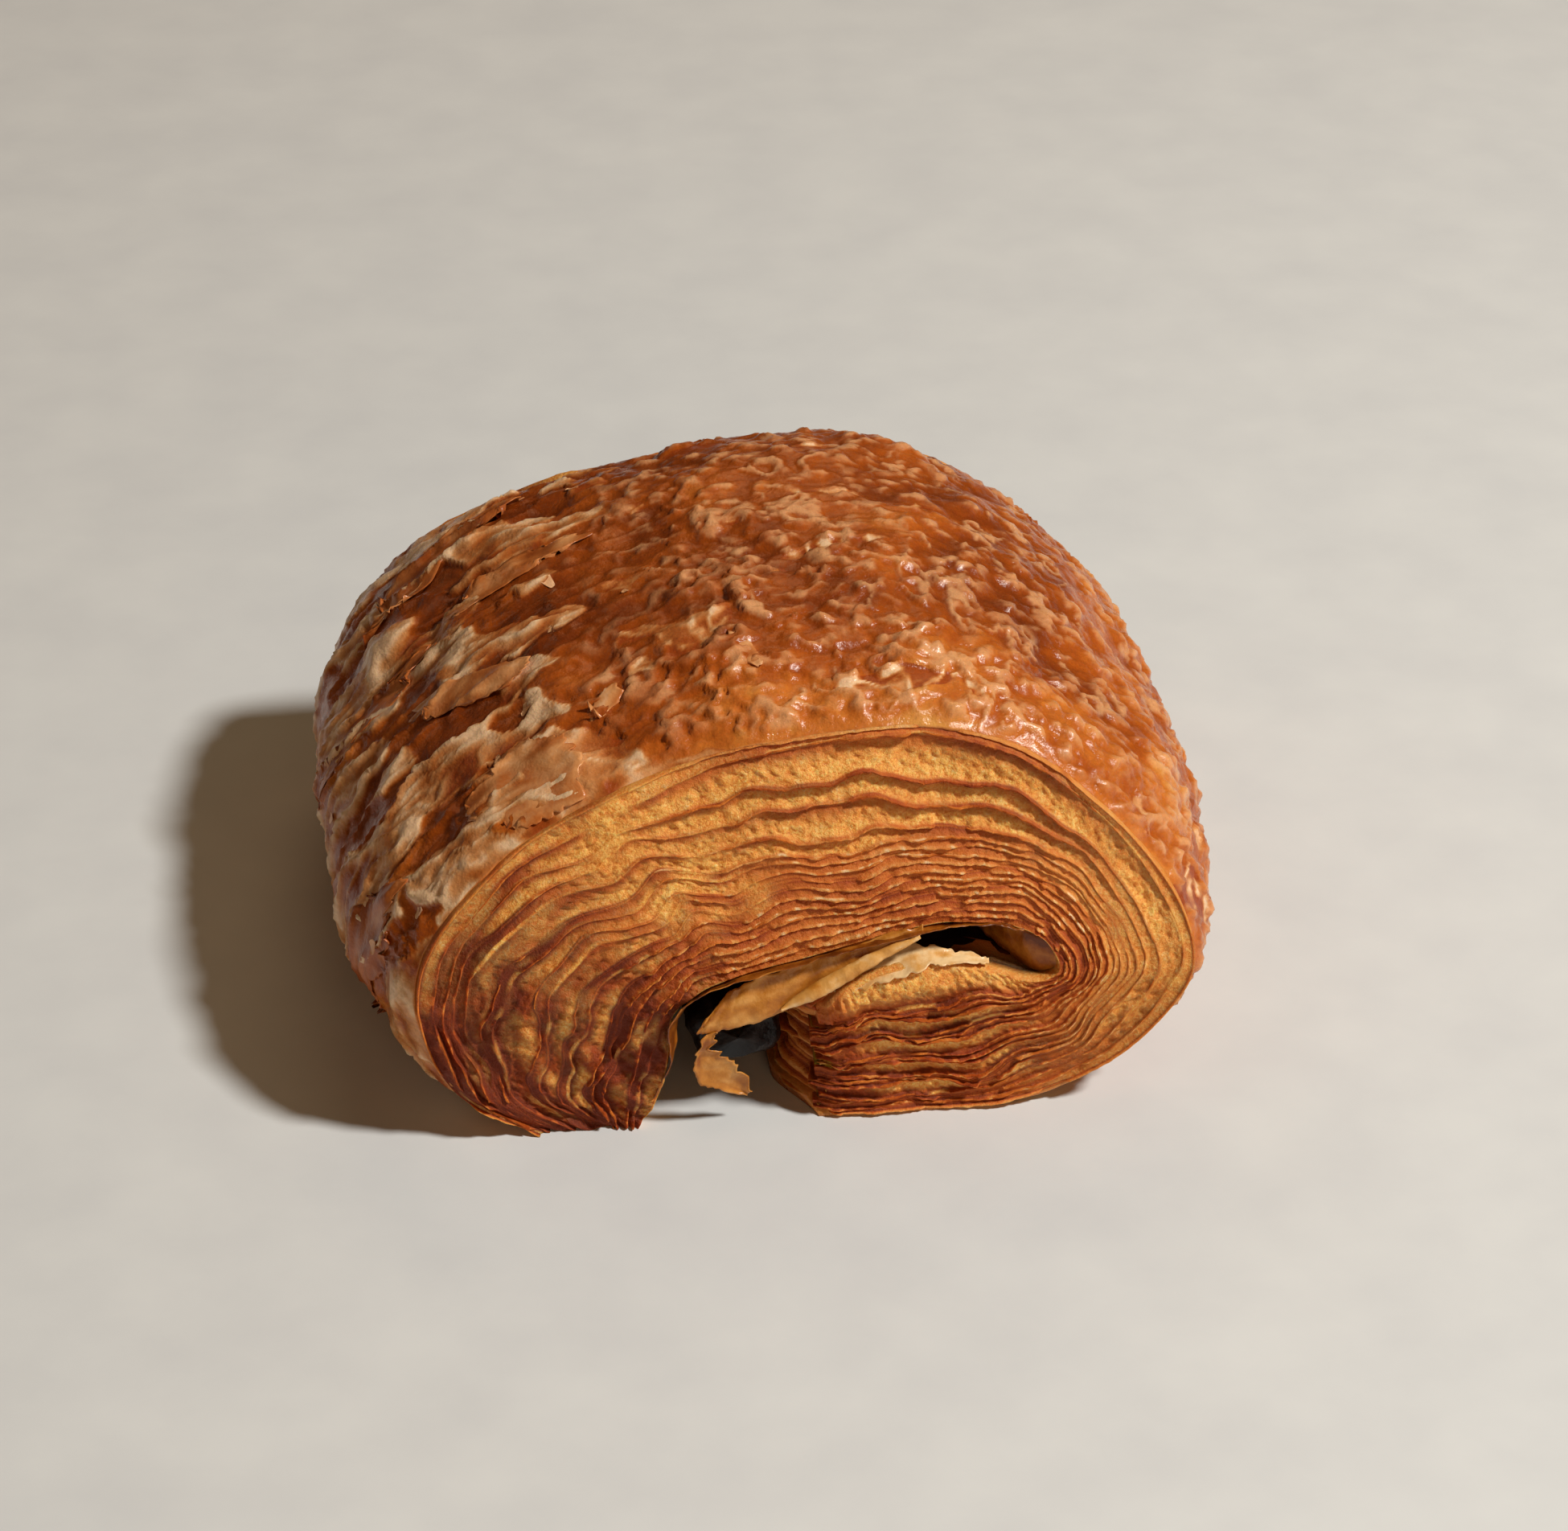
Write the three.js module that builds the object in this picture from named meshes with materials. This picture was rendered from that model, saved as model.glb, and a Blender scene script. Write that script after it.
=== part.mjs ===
// Pain au chocolat: one rolled, laminated and baked pastry, with two dark chocolate batons inside.
// Millimetres, +Z up. X runs across the roll and Y along it, from the front cut end (-Y) to the back.
// The origin is the centre of the underside of the whole thing's bounding box.

import * as THREE from "three";

// The pastry
const pastryLength = 86; // between the two cut ends, at the foot
const crownHeight = 5.2; // how much higher the middle rises than the cut ends
const flankSwell = 0.15; // how much wider the middle is, as a share of the half width
const rollSkew = 3.5; // how far the back end is set over towards -X
const endLean = 0.28; // how far the cut ends lean in, per mm above leanStart
const leanStart = 18;
const halfWidth = 45; // of a cut end
const endHeight = 48.5; // of a cut end
const hollowTop = 24; // below this the crown lifts nothing
const lengthSteps = 20;
const curvePoints = 3; // outline points for each point of a spline

// The batons. The dough stands back from one by push, inside the roll, or closes in on it if push
// is negative.
const baton = { width: 9.4, cornerRadius: 1.8, endRound: 1 };
const rightBaton = { x: 20, z: 22, tilt: -10, length: 66, thickness: 4.6, push: 2 };
const leftBaton = { x: -8.4, z: 13, tilt: 12, length: 81, thickness: 8.4, push: -2.4 };
const batonReach = 10; // how far from a baton's centre the push is felt

// The dough's outline on a cut end. It starts at the left foot and goes over the top, round the
// right side and under, to the tip of the lower lobe.
const footInner = [-21, 0];
const footOuter = [-32, 0];
const crust = [
  [-41.5, 6], [-45.8, 16], [-44, 25.5], [-34.5, 36], [-20, 43.4], [-4, 47.6],
  [12, endHeight], [26, 44.3], [37, 35.5], [43.6, 26], [44.5, 17], [39, 8], [30.5, 2.2],
];
const lobeOuter = [21, 0];
const lobeInner = [0, 0];

// The inside of the roll, from the lobe's tip to the blind end of the slit and back along the roof.
const lobeTip = [[2, 9.5], [-1.5, 15]];
const slit = [[4, 18.4], [12, 20.6], [19.5, 19.9], [26, 17.8], [29, 19.8], [27, 22.8], [22, 24.4], [15, 24.7]];
const roof = [[6, 23.5], [-5, 21], [-12, 19], [-15.5, 15], [-15.5, 10], [-18, 3]];

const points = (list) => list.map(([x, z]) => new THREE.Vector2(x, z));

function doughSection() {
  const shape = new THREE.Shape();
  shape.moveTo(...footInner);
  shape.lineTo(...footOuter);
  shape.splineThru(points([...crust, lobeOuter]));
  shape.lineTo(...lobeInner);
  shape.splineThru(points([...lobeTip, ...slit, ...roof, footInner]));
  return shape;
}

// How fully the dough has risen at a place along the roll: 0 at a cut end and 1 in the middle.
function risen(along) {
  return (1 - Math.abs(along) ** 2.8) ** 0.8;
}

// Pushes a point of the section away from a baton's centre, as far as the dough has risen.
function standBack(point, { x, z, push }, rise) {
  const away = new THREE.Vector2(point.x - x, point.y - z);
  const distance = away.length();
  const amount = push * rise * Math.exp(-((distance / batonReach) ** 2));
  point.add(away.multiplyScalar(amount / distance));
}

// Places a point of the section (x across, z up) at along, which runs from -1 at the front to 1.
function inDough(x, z, along) {
  const rise = risen(along);
  const p = new THREE.Vector2(x, z);
  if (z > 0) {
    standBack(p, rightBaton, rise);
    standBack(p, leftBaton, rise);
  }
  const crown = THREE.MathUtils.smoothstep(p.y, hollowTop, endHeight) * crownHeight * rise;
  const swell = 1 + (flankSwell * rise * Math.abs(p.x)) / halfWidth;
  const halfLength = pastryLength / 2 - endLean * Math.max(0, p.y - leanStart);
  return new THREE.Vector3(
    p.x * swell - (rollSkew * (along + 1)) / 2,
    along * halfLength,
    Math.max(0, p.y + crown),
  );
}

function pastry() {
  const geometry = new THREE.ExtrudeGeometry(doughSection(), {
    depth: 2,
    steps: lengthSteps,
    curveSegments: curvePoints,
    bevelEnabled: false,
  });
  const position = geometry.getAttribute("position");
  for (let i = 0; i < position.count; i++) {
    // The extrusion runs along +Z from 0 to 2, and the roll from the back to the front.
    const placed = inDough(position.getX(i), position.getY(i), 1 - position.getZ(i));
    position.setXYZ(i, placed.x, placed.y, placed.z);
  }
  geometry.computeVertexNormals();
  const bakedDough = new THREE.MeshStandardMaterial({ color: "#b5622a", roughness: 0.4, metalness: 0 });
  const mesh = new THREE.Mesh(geometry, bakedDough);
  mesh.name = "pastry";
  return mesh;
}

function roundedBar(width, height, radius) {
  const x = width / 2 - radius;
  const y = height / 2 - radius;
  const quarter = Math.PI / 2;
  const shape = new THREE.Shape();
  shape.absarc(x, y, radius, 0, quarter);
  shape.absarc(-x, y, radius, quarter, 2 * quarter);
  shape.absarc(-x, -y, radius, 2 * quarter, 3 * quarter);
  shape.absarc(x, -y, radius, 3 * quarter, 4 * quarter);
  return shape;
}

function chocolateBaton(name, { x, z, tilt, length, thickness }) {
  const { width, cornerRadius, endRound } = baton;
  const geometry = new THREE.ExtrudeGeometry(
    roundedBar(width - 2 * endRound, thickness - 2 * endRound, cornerRadius - endRound),
    {
      depth: length - 2 * endRound,
      curveSegments: 4,
      bevelThickness: endRound,
      bevelSize: endRound,
      bevelSegments: 2,
    },
  );
  geometry.translate(0, 0, endRound - length / 2);
  geometry.rotateZ(THREE.MathUtils.degToRad(tilt));
  geometry.rotateX(Math.PI / 2);
  const darkChocolate = new THREE.MeshStandardMaterial({ color: "#24140d", roughness: 0.45, metalness: 0 });
  const mesh = new THREE.Mesh(geometry, darkChocolate);
  mesh.name = name;
  mesh.position.set(x - rollSkew / 2, 0, z);
  mesh.rotation.z = Math.atan2(rollSkew, pastryLength);
  return mesh;
}

const painAuChocolat = new THREE.Group();
painAuChocolat.add(pastry());
painAuChocolat.add(chocolateBaton("chocolate_baton_left", leftBaton));
painAuChocolat.add(chocolateBaton("chocolate_baton_right", rightBaton));

// The underside's centre becomes the origin.
const box = new THREE.Box3().setFromObject(painAuChocolat);
const centre = box.getCenter(new THREE.Vector3());
for (const piece of painAuChocolat.children) {
  piece.position.sub(new THREE.Vector3(centre.x, centre.y, box.min.z));
}

export default painAuChocolat;
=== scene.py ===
import math

import bpy
import numpy as np
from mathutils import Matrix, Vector


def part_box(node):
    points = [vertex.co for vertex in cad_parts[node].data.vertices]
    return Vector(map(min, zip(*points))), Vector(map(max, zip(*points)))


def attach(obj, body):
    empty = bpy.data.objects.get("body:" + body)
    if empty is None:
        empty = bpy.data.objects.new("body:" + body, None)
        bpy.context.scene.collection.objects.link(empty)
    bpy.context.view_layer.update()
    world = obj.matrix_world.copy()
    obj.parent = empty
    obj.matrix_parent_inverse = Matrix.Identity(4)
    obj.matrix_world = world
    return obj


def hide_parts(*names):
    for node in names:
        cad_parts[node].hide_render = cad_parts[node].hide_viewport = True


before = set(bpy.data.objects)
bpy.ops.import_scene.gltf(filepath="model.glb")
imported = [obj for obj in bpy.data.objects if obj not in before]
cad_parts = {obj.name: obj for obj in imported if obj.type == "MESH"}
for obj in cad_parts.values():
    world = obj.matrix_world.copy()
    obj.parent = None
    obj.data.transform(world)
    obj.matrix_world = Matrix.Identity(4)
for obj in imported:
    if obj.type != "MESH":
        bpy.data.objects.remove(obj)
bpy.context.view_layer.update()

mm = 0.001
pastryLow, pastryHigh = [np.array(corner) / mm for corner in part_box("pastry")]

# The roll, in millimetres: the same rule as the CAD pastry, sized from its box.
roll = {
    "length": pastryHigh[1] - pastryLow[1],
    "endHeight": 48.5,
    "crown": pastryHigh[2] - 48.5,  # how much higher the middle rises than the cut ends
    "swell": 0.15,  # how much wider the middle is
    "halfWidth": 45.0,
    "skew": 3.5,  # the back end is set over to the left
    "lean": 0.28,  # the cut ends lean in above leanStart
    "leanStart": 18.0,
    "hollowTop": 24.0,
    "batonReach": 10.0,
}
batonPush = {"right": (20.0, 22.0, 2.0), "left": (-8.4, 13.0, -2.4)}  # x, z, push

# Stations along the dough, from the left foot over the top to the tip of the lower lobe:
# x and z on the crust, then x and z across from it on the inside of the roll.
stations = np.array([
    (-32.0, 0.0, -19.6, 0.0),
    (-41.5, 6.0, -17.2, 4.0),
    (-45.8, 16.0, -15.6, 10.0),
    (-44.0, 25.5, -15.2, 15.4),
    (-34.5, 36.0, -12.0, 19.0),
    (-20.0, 43.4, -5.0, 21.0),
    (-4.0, 47.6, 6.0, 23.5),
    (12.0, 48.5, 15.0, 24.7),
    (26.0, 44.3, 22.0, 24.4),
    (37.0, 35.5, 27.0, 22.8),
    (43.6, 26.0, 29.0, 20.2),
    (44.5, 17.0, 28.2, 18.4),
    (39.0, 8.0, 25.0, 18.2),
    (30.5, 2.2, 19.5, 19.8),
    (21.0, 0.0, 12.5, 20.5),
    (10.5, 0.0, 4.5, 18.7),
    (0.0, 0.0, -1.5, 15.0),
])


def spline(table, u):
    # Catmull-Rom through the rows of table
    last = len(table) - 1
    i = np.clip(np.floor(u).astype(int), 0, last - 1)
    f = (u - i)[..., None]
    p0, p1 = table[np.maximum(i - 1, 0)], table[i]
    p2, p3 = table[i + 1], table[np.minimum(i + 2, last)]
    bend = (2 * p0 - 5 * p1 + 4 * p2 - p3) * f**2 + (3 * p1 - p0 - 3 * p2 + p3) * f**3
    return 0.5 * (2 * p1 + (p2 - p0) * f + bend)


def runAlong(points):
    steps = np.linalg.norm(np.diff(points, axis=0), axis=-1)
    return np.concatenate([[0], np.cumsum(steps)])


places = np.linspace(0, len(stations) - 1, 3000)
crustRun = runAlong(spline(stations, places)[:, :2])
insideRun = runAlong(spline(stations, places)[:, 2:])
meanRun = (crustRun + insideRun) / 2
doughLength, crustLength = meanRun[-1], crustRun[-1]


def smooth(low, high, x):
    f = np.clip((x - low) / (high - low), 0, 1)
    return f * f * (3 - 2 * f)


def mix(a, b, f):
    return a + (b - a) * f


def hump(x, centre, reach):
    return np.exp(-(((x - centre) / reach) ** 2))


def flatPoints(u, v):
    # points with the coordinates u, v and 0, for noise that follows a surface
    return np.stack(np.broadcast_arrays(u, v, 0.0), -1)


def alongDough(run):
    # the place along the dough, 0 to 1, at run millimetres round the crust
    return np.interp(np.interp(run, crustRun, places), places, meanRun) / doughLength


def section(s, t):
    # s runs along the dough and t from the crust inwards, both 0 to 1
    p = spline(stations, np.interp(s * doughLength, meanRun, places))
    return p[..., 0] * (1 - t) + p[..., 2] * t, p[..., 1] * (1 - t) + p[..., 3] * t


def thicknessAt(s):
    p = spline(stations, np.interp(s * doughLength, meanRun, places))
    return np.hypot(p[..., 2] - p[..., 0], p[..., 3] - p[..., 1])


def inDough(x, z, along):
    # places section points in the risen pastry, along from -1 at the front to 1 at the back
    rise = np.clip(1 - np.abs(along) ** 2.8, 0, 1) ** 0.8
    offFloor = smooth(0, 1.5, z)
    for bx, bz, push in batonPush.values():
        dx, dz = x - bx, z - bz
        gap = np.hypot(dx, dz) + 1e-9
        amount = push * rise * hump(gap, 0, roll["batonReach"]) / gap * offFloor
        x, z = x + dx * amount, z + dz * amount
    halfLength = roll["length"] / 2 - roll["lean"] * np.maximum(0, z - roll["leanStart"])
    up = z + smooth(roll["hollowTop"], roll["endHeight"], z) * roll["crown"] * rise
    wide = 1 + roll["swell"] * rise * np.abs(x) / roll["halfWidth"]
    placed = [x * wide - roll["skew"] * (along + 1) / 2, along * halfLength, np.maximum(0, up)]
    return np.stack(np.broadcast_arrays(*placed), -1)


def doughPoint(s, t, along):
    s, t, along = np.broadcast_arrays(np.asarray(s, float), t, along)
    return inDough(*section(s, t), along)


def splayed(p, s):
    # the lower lobe's tip is pulled back at its front and back corners
    near = smooth(0.9, 1.0, s)
    inwards = smooth(0, 10, roll["length"] / 2 + 1 - np.abs(p[..., 1]))
    p[..., 0] -= 4.8 * near * (inwards - 0.3)
    return p


probe = doughPoint(np.linspace(0, 1, 600)[:, None], 0.0, np.linspace(-1, 1, 81)[None, :])
rawMiddle = (probe.min((0, 1)) + probe.max((0, 1))) / 2
toRow = (pastryLow + pastryHigh) / 2 - rawMiddle
toRow[2] = 0
innerGap = 0.1  # inner sides stay this far off the floor, so that only the sole lies in its plane
print("dough length mm", round(doughLength, 1), "set over by", toRow.round(2))


def scrambled(cell, key):
    # a whole number for each cell that looks random
    h = (cell[..., 0] * 73856093) ^ (cell[..., 1] * 19349663) ^ (cell[..., 2] * 83492791)
    h = (h ^ key) & 0xFFFFFFFF
    return ((h ^ (h >> 15)) * 739982445) & 0xFFFFFFFF


def gradientNoise(p, seed=0):
    # smooth noise of about -1 to 1, one lump for each unit of p
    cell = np.floor(p).astype(np.int64)
    f = p - cell
    fade = f * f * f * (f * (f * 6 - 15) + 10)
    total = np.zeros(p.shape[:-1])
    for corner in np.ndindex(2, 2, 2):
        h = scrambled(cell + corner, seed * 40503 + 12345)
        h = ((h ^ (h >> 12)) * 695872825) & 0xFFFFFFFF
        h = h ^ (h >> 15)
        weight = np.ones(p.shape[:-1])
        dot = np.zeros(p.shape[:-1])
        for k in range(3):
            weight = weight * (fade[..., k] if corner[k] else 1 - fade[..., k])
            dot += (((h >> (10 * k)) & 1023) / 511.5 - 1) * (f[..., k] - corner[k])
        total += weight * dot
    return total * 1.6


def lumps(p, size, octaves=2, seed=0):
    # noise whose largest lumps are size millimetres across
    total, reach = 0, 0.0
    for k in range(octaves):
        total = total + 0.5**k * gradientNoise(p / np.asarray(size) * 2**k, seed + 17 * k)
        reach += 0.5**k
    return total / reach * 1.25


def pits(p, size, seed=0):
    # distance to the nearest of scattered points: 0 at one of them and about 1 between them
    q = p / size
    cell = np.floor(q).astype(np.int64)
    nearest = np.full(p.shape[:-1], 9.0)
    for step in np.ndindex(3, 3, 3):
        c = cell + np.array(step) - 1
        h = scrambled(c, seed * 40503 + 77)
        h = h ^ (h >> 13)
        far = 0
        for k in range(3):
            far = far + (c[..., k] + ((h >> (10 * k)) & 1023) / 1023 - q[..., k]) ** 2
        nearest = np.minimum(nearest, far)
    return np.sqrt(nearest)


def surfaceNormals(grid):
    # unit normals of a grid of points, on the side of its rows crossed with its columns
    n = np.cross(np.gradient(grid, axis=0), np.gradient(grid, axis=1))
    return n / np.maximum(np.linalg.norm(n, axis=-1, keepdims=True), 1e-9)


def settled(p):
    # the small unevenness that everything in the roll shares
    lift = smooth(0, 4, p[..., 2])
    shift = np.stack([0.9 * lumps(p, 19, 2, 90), 0.5 * lumps(p, 19, 2, 91),
                      0.8 * lumps(p, 19, 2, 92) * lift], -1)
    moved = p + shift
    moved[..., 2] = np.maximum(moved[..., 2], 0)
    return moved


def makeObject(name, points, faces, material, attributes=None, lines=()):
    mesh = bpy.data.meshes.new(name)
    mesh.from_pydata(((settled(np.asarray(points)) + toRow) * mm).tolist(), lines, faces)
    mesh.polygons.foreach_set("use_smooth", [True] * len(mesh.polygons))
    for key, values in (attributes or {}).items():
        layer = mesh.attributes.new(key, "FLOAT", "POINT")
        layer.data.foreach_set("value", np.asarray(values, np.float32).ravel())
    mesh.materials.append(material)
    mesh.update()
    made = bpy.data.objects.new(name, mesh)
    bpy.context.scene.collection.objects.link(made)
    return made


def gridFaces(rows, columns, start=0, flip=False):
    index = start + np.arange(rows * columns).reshape(rows, columns)
    a, b, c, d = index[:-1, :-1], index[:-1, 1:], index[1:, 1:], index[1:, :-1]
    quads = np.stack([a, b, c, d] if flip else [a, d, c, b], -1)
    return quads.reshape(-1, 4).tolist()


def rim(index):
    return np.concatenate([index[0, :-1], index[:-1, -1], index[-1, :0:-1], index[:0:-1, 0]])


def closedSlab(fine, coarse, step, flip=False):
    # closes a fine grid with a coarse one behind it, which has one cell for each step fine ones
    rows, columns = fine.shape[:2]
    count = rows * columns
    assert rows - 1 == (coarse.shape[0] - 1) * step, (rows, coarse.shape, step)
    assert columns - 1 == (coarse.shape[1] - 1) * step, (columns, coarse.shape, step)
    faces = gridFaces(rows, columns, 0, flip)
    faces += gridFaces(*coarse.shape[:2], count, not flip)
    outer = rim(np.arange(count).reshape(rows, columns))
    inner = rim(count + np.arange(coarse.shape[0] * coarse.shape[1]).reshape(coarse.shape[:2]))
    turn = (lambda f: f) if flip else (lambda f: f[::-1])
    for k in range(len(inner)):
        c0, c1 = int(inner[k]), int(inner[(k + 1) % len(inner)])
        ring = [int(outer[(k * step + m) % len(outer)]) for m in range(step + 1)]
        for m in range(step):
            faces.append(turn((ring[m + 1], ring[m], c0 if m < step // 2 else c1)))
        faces.append(turn((ring[step // 2], c0, c1)))
    return np.concatenate([fine.reshape(-1, 3), coarse.reshape(-1, 3)]), faces


def padded(values, coarseCount, fill=0.5):
    return np.concatenate([np.asarray(values, float).ravel(), np.full(coarseCount, fill)])


def finished(piece, node=None):
    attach(piece, "root")
    if node:
        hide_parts(node)
    print(piece.name, len(piece.data.polygons), "faces")
    return piece


# Materials
def linear(hexColour):
    channels = [int(hexColour[k:k + 2], 16) / 255 for k in (1, 3, 5)]
    return [c / 12.92 if c <= 0.04045 else ((c + 0.055) / 1.055) ** 2.4 for c in channels] + [1.0]


def addNode(tree, kind, settings, inputs, out=0):
    # adds a node, sets it up, fills or links its inputs and gives back one of its outputs
    made = tree.nodes.new(kind)
    for key, value in settings.items():
        if key != "stops":
            setattr(made, key, value)
            continue
        stops = made.color_ramp.elements
        for place, colour in value[2:]:
            stops.new(place)
        for stop, (place, colour) in zip(stops, value):
            stop.position = place
            stop.color = linear(colour)
    for key, value in inputs.items():
        if isinstance(value, bpy.types.NodeSocket):
            tree.links.new(value, made.inputs[key])
        else:
            made.inputs[key].default_value = value
    return made.outputs[out] if len(made.outputs) else made


multiplyAdd = {"operation": "MULTIPLY_ADD"}
asColour = {"data_type": "RGBA"}


def newMaterial(name):
    material = bpy.data.materials.new(name)
    material.use_nodes = True
    material.node_tree.nodes.clear()
    return material, material.node_tree


def makeGlazedCrust():
    # Egg-washed puff crust, oven baked: amber to red brown under a thin shine, with paper-thin
    # tan skin where the top leaf has lifted off.
    material, tree = newMaterial("egg_washed_puff_crust")
    where = addNode(tree, "ShaderNodeTexCoord", {}, {}, "Object")
    mottle = addNode(tree, "ShaderNodeTexNoise", {},
                     {"Vector": where, "Scale": 1 / (2.2 * mm), "Detail": 4.0})
    speck = addNode(tree, "ShaderNodeTexNoise", {},
                    {"Vector": where, "Scale": 1 / (0.45 * mm), "Detail": 3.0, "Roughness": 0.6})
    bake, skin, pale = [addNode(tree, "ShaderNodeAttribute", {"attribute_name": key}, {}, "Fac")
                        for key in ("bake", "skin", "pale")]
    tone = addNode(tree, "ShaderNodeMath", multiplyAdd, {0: mottle, 1: 0.34, 2: bake})
    baked = addNode(tree, "ShaderNodeValToRGB", {"stops": [
        (0.14, "#DE9A4C"), (0.34, "#C9712A"), (0.54, "#AC5216"), (0.76, "#86390D"), (0.98, "#5C2205"),
    ]}, {"Fac": tone})
    # the torn rim of the lifted skin
    rag = addNode(tree, "ShaderNodeMath", multiplyAdd, {0: speck, 1: 0.1, 2: skin})
    lifted = addNode(tree, "ShaderNodeMapRange", {"interpolation_type": "SMOOTHSTEP"},
                     {"Value": rag, "From Min": 0.535, "From Max": 0.575})
    shade = addNode(tree, "ShaderNodeMath", multiplyAdd, {0: mottle, 1: 0.3, 2: pale})
    film = addNode(tree, "ShaderNodeValToRGB", {"stops": [
        (0.22, "#983F12"), (0.45, "#BC6C32"), (0.7, "#DA9A62"), (0.95, "#F4CCA2"),
    ]}, {"Fac": shade})
    # painted highlight: where pale is high on the blisters and wrinkles, the crust colour is mixed towards
    # pale tan
    top = addNode(tree, "ShaderNodeMapRange", {"interpolation_type": "SMOOTHSTEP"},
                  {"Value": pale, "From Min": 0.1, "From Max": 1.0, "To Max": 0.76})
    warm = addNode(tree, "ShaderNodeMix", asColour, {0: top, 6: baked, 7: linear("#E2A672")}, 2)
    cover = addNode(tree, "ShaderNodeMath", {"operation": "MULTIPLY"}, {0: lifted, 1: 0.9})
    colour = addNode(tree, "ShaderNodeMix", asColour, {0: cover, 6: warm, 7: film}, 2)
    fleck = addNode(tree, "ShaderNodeMapRange", {},
                    {"Value": speck, "From Min": 0.25, "From Max": 0.75, "To Min": 0.84, "To Max": 1.12})
    tint = addNode(tree, "ShaderNodeCombineColor", {}, {"Red": fleck, "Green": fleck, "Blue": fleck})
    flecked = addNode(tree, "ShaderNodeMix", {**asColour, "blend_type": "MULTIPLY"},
                      {0: 1.0, 6: colour, 7: tint}, 2)
    glaze = addNode(tree, "ShaderNodeMapRange", {},
                    {"Value": mottle, "From Min": 0.3, "From Max": 0.7, "To Min": 0.2, "To Max": 0.36})
    gloss = addNode(tree, "ShaderNodeMath", multiplyAdd, {0: lifted, 1: 0.04, 2: glaze})
    fine = addNode(tree, "ShaderNodeMath", multiplyAdd, {0: mottle, 1: 2.0, 2: speck})
    normal = addNode(tree, "ShaderNodeBump", {}, {"Height": fine, "Strength": 0.5, "Distance": 0.2 * mm})
    shader = addNode(tree, "ShaderNodeBsdfPrincipled", {}, {
        "Base Color": flecked, "Roughness": gloss, "Normal": normal, "IOR": 1.48,
        "Coat Weight": 0.14, "Coat Roughness": 0.2, "Specular IOR Level": 0.34, "Subsurface Weight": 0.12,
        "Subsurface Radius": (1.0, 0.4, 0.12), "Subsurface Scale": 1.2 * mm,
    })
    addNode(tree, "ShaderNodeOutputMaterial", {}, {"Surface": shader})
    return material


def makeLamination(name, glow, shine):
    # Cut puff dough, oven baked: porous golden crumb between toasted sheet edges, which hardly
    # shine, while the crumb glistens with butter. Light spreads inside it, but not in a lone sheet.
    material, tree = newMaterial(name)
    where = addNode(tree, "ShaderNodeTexCoord", {}, {}, "Object")
    mottle = addNode(tree, "ShaderNodeTexNoise", {},
                     {"Vector": where, "Scale": 1 / (1.5 * mm), "Detail": 4.0})
    grain = addNode(tree, "ShaderNodeTexNoise", {},
                    {"Vector": where, "Scale": 1 / (0.36 * mm), "Detail": 3.0, "Roughness": 0.7})
    toast, golden, stain = [addNode(tree, "ShaderNodeAttribute", {"attribute_name": key}, {}, "Fac")
                            for key in ("toast", "golden", "stain")]
    cloud = addNode(tree, "ShaderNodeMath", multiplyAdd, {0: mottle, 1: 0.3, 2: toast})
    tone = addNode(tree, "ShaderNodeMath", multiplyAdd, {0: grain, 1: 0.14, 2: cloud})
    baked = addNode(tree, "ShaderNodeValToRGB", {"stops": [
        (0.2, "#F4C898"), (0.4, "#E8A25A"), (0.6, "#D4762A"), (0.82, "#AA4A12"), (1.0, "#742806"),
    ]}, {"Fac": tone})
    blend = addNode(tree, "ShaderNodeMix", {}, {0: 0.35, 2: grain, 3: mottle})
    crumb = addNode(tree, "ShaderNodeValToRGB", {"stops": [
        (0.35, "#DC7E2A"), (0.47, "#F2A64C"), (0.58, "#FCC86C"), (0.7, "#FFE0A4"),
    ]}, {"Fac": blend})
    clean = addNode(tree, "ShaderNodeMix", asColour, {0: golden, 6: baked, 7: crumb}, 2)
    # painted shade: mixed towards near black where the slit lies deep in shade
    colour = addNode(tree, "ShaderNodeMix", asColour, {0: stain, 6: clean, 7: linear("#1A0A05")}, 2)
    wet = addNode(tree, "ShaderNodeMapRange", {},
                  {"Value": grain, "From Min": 0.38, "From Max": 0.62, "To Min": 0.22, "To Max": 0.5})
    dry = addNode(tree, "ShaderNodeMix", {}, {0: golden, 2: 0.58, 3: wet})
    both = addNode(tree, "ShaderNodeMath", {"operation": "ADD"}, {0: grain, 1: mottle})
    normal = addNode(tree, "ShaderNodeBump", {}, {"Height": both, "Strength": 0.9, "Distance": 0.26 * mm})
    shader = addNode(tree, "ShaderNodeBsdfPrincipled", {}, {
        "Base Color": colour, "Roughness": dry, "Normal": normal, "IOR": 1.47, "Specular IOR Level": shine,
        "Subsurface Weight": glow, "Subsurface Radius": (1.0, 0.55, 0.26), "Subsurface Scale": 0.9 * mm,
    })
    addNode(tree, "ShaderNodeOutputMaterial", {}, {"Surface": shader})
    return material


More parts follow.
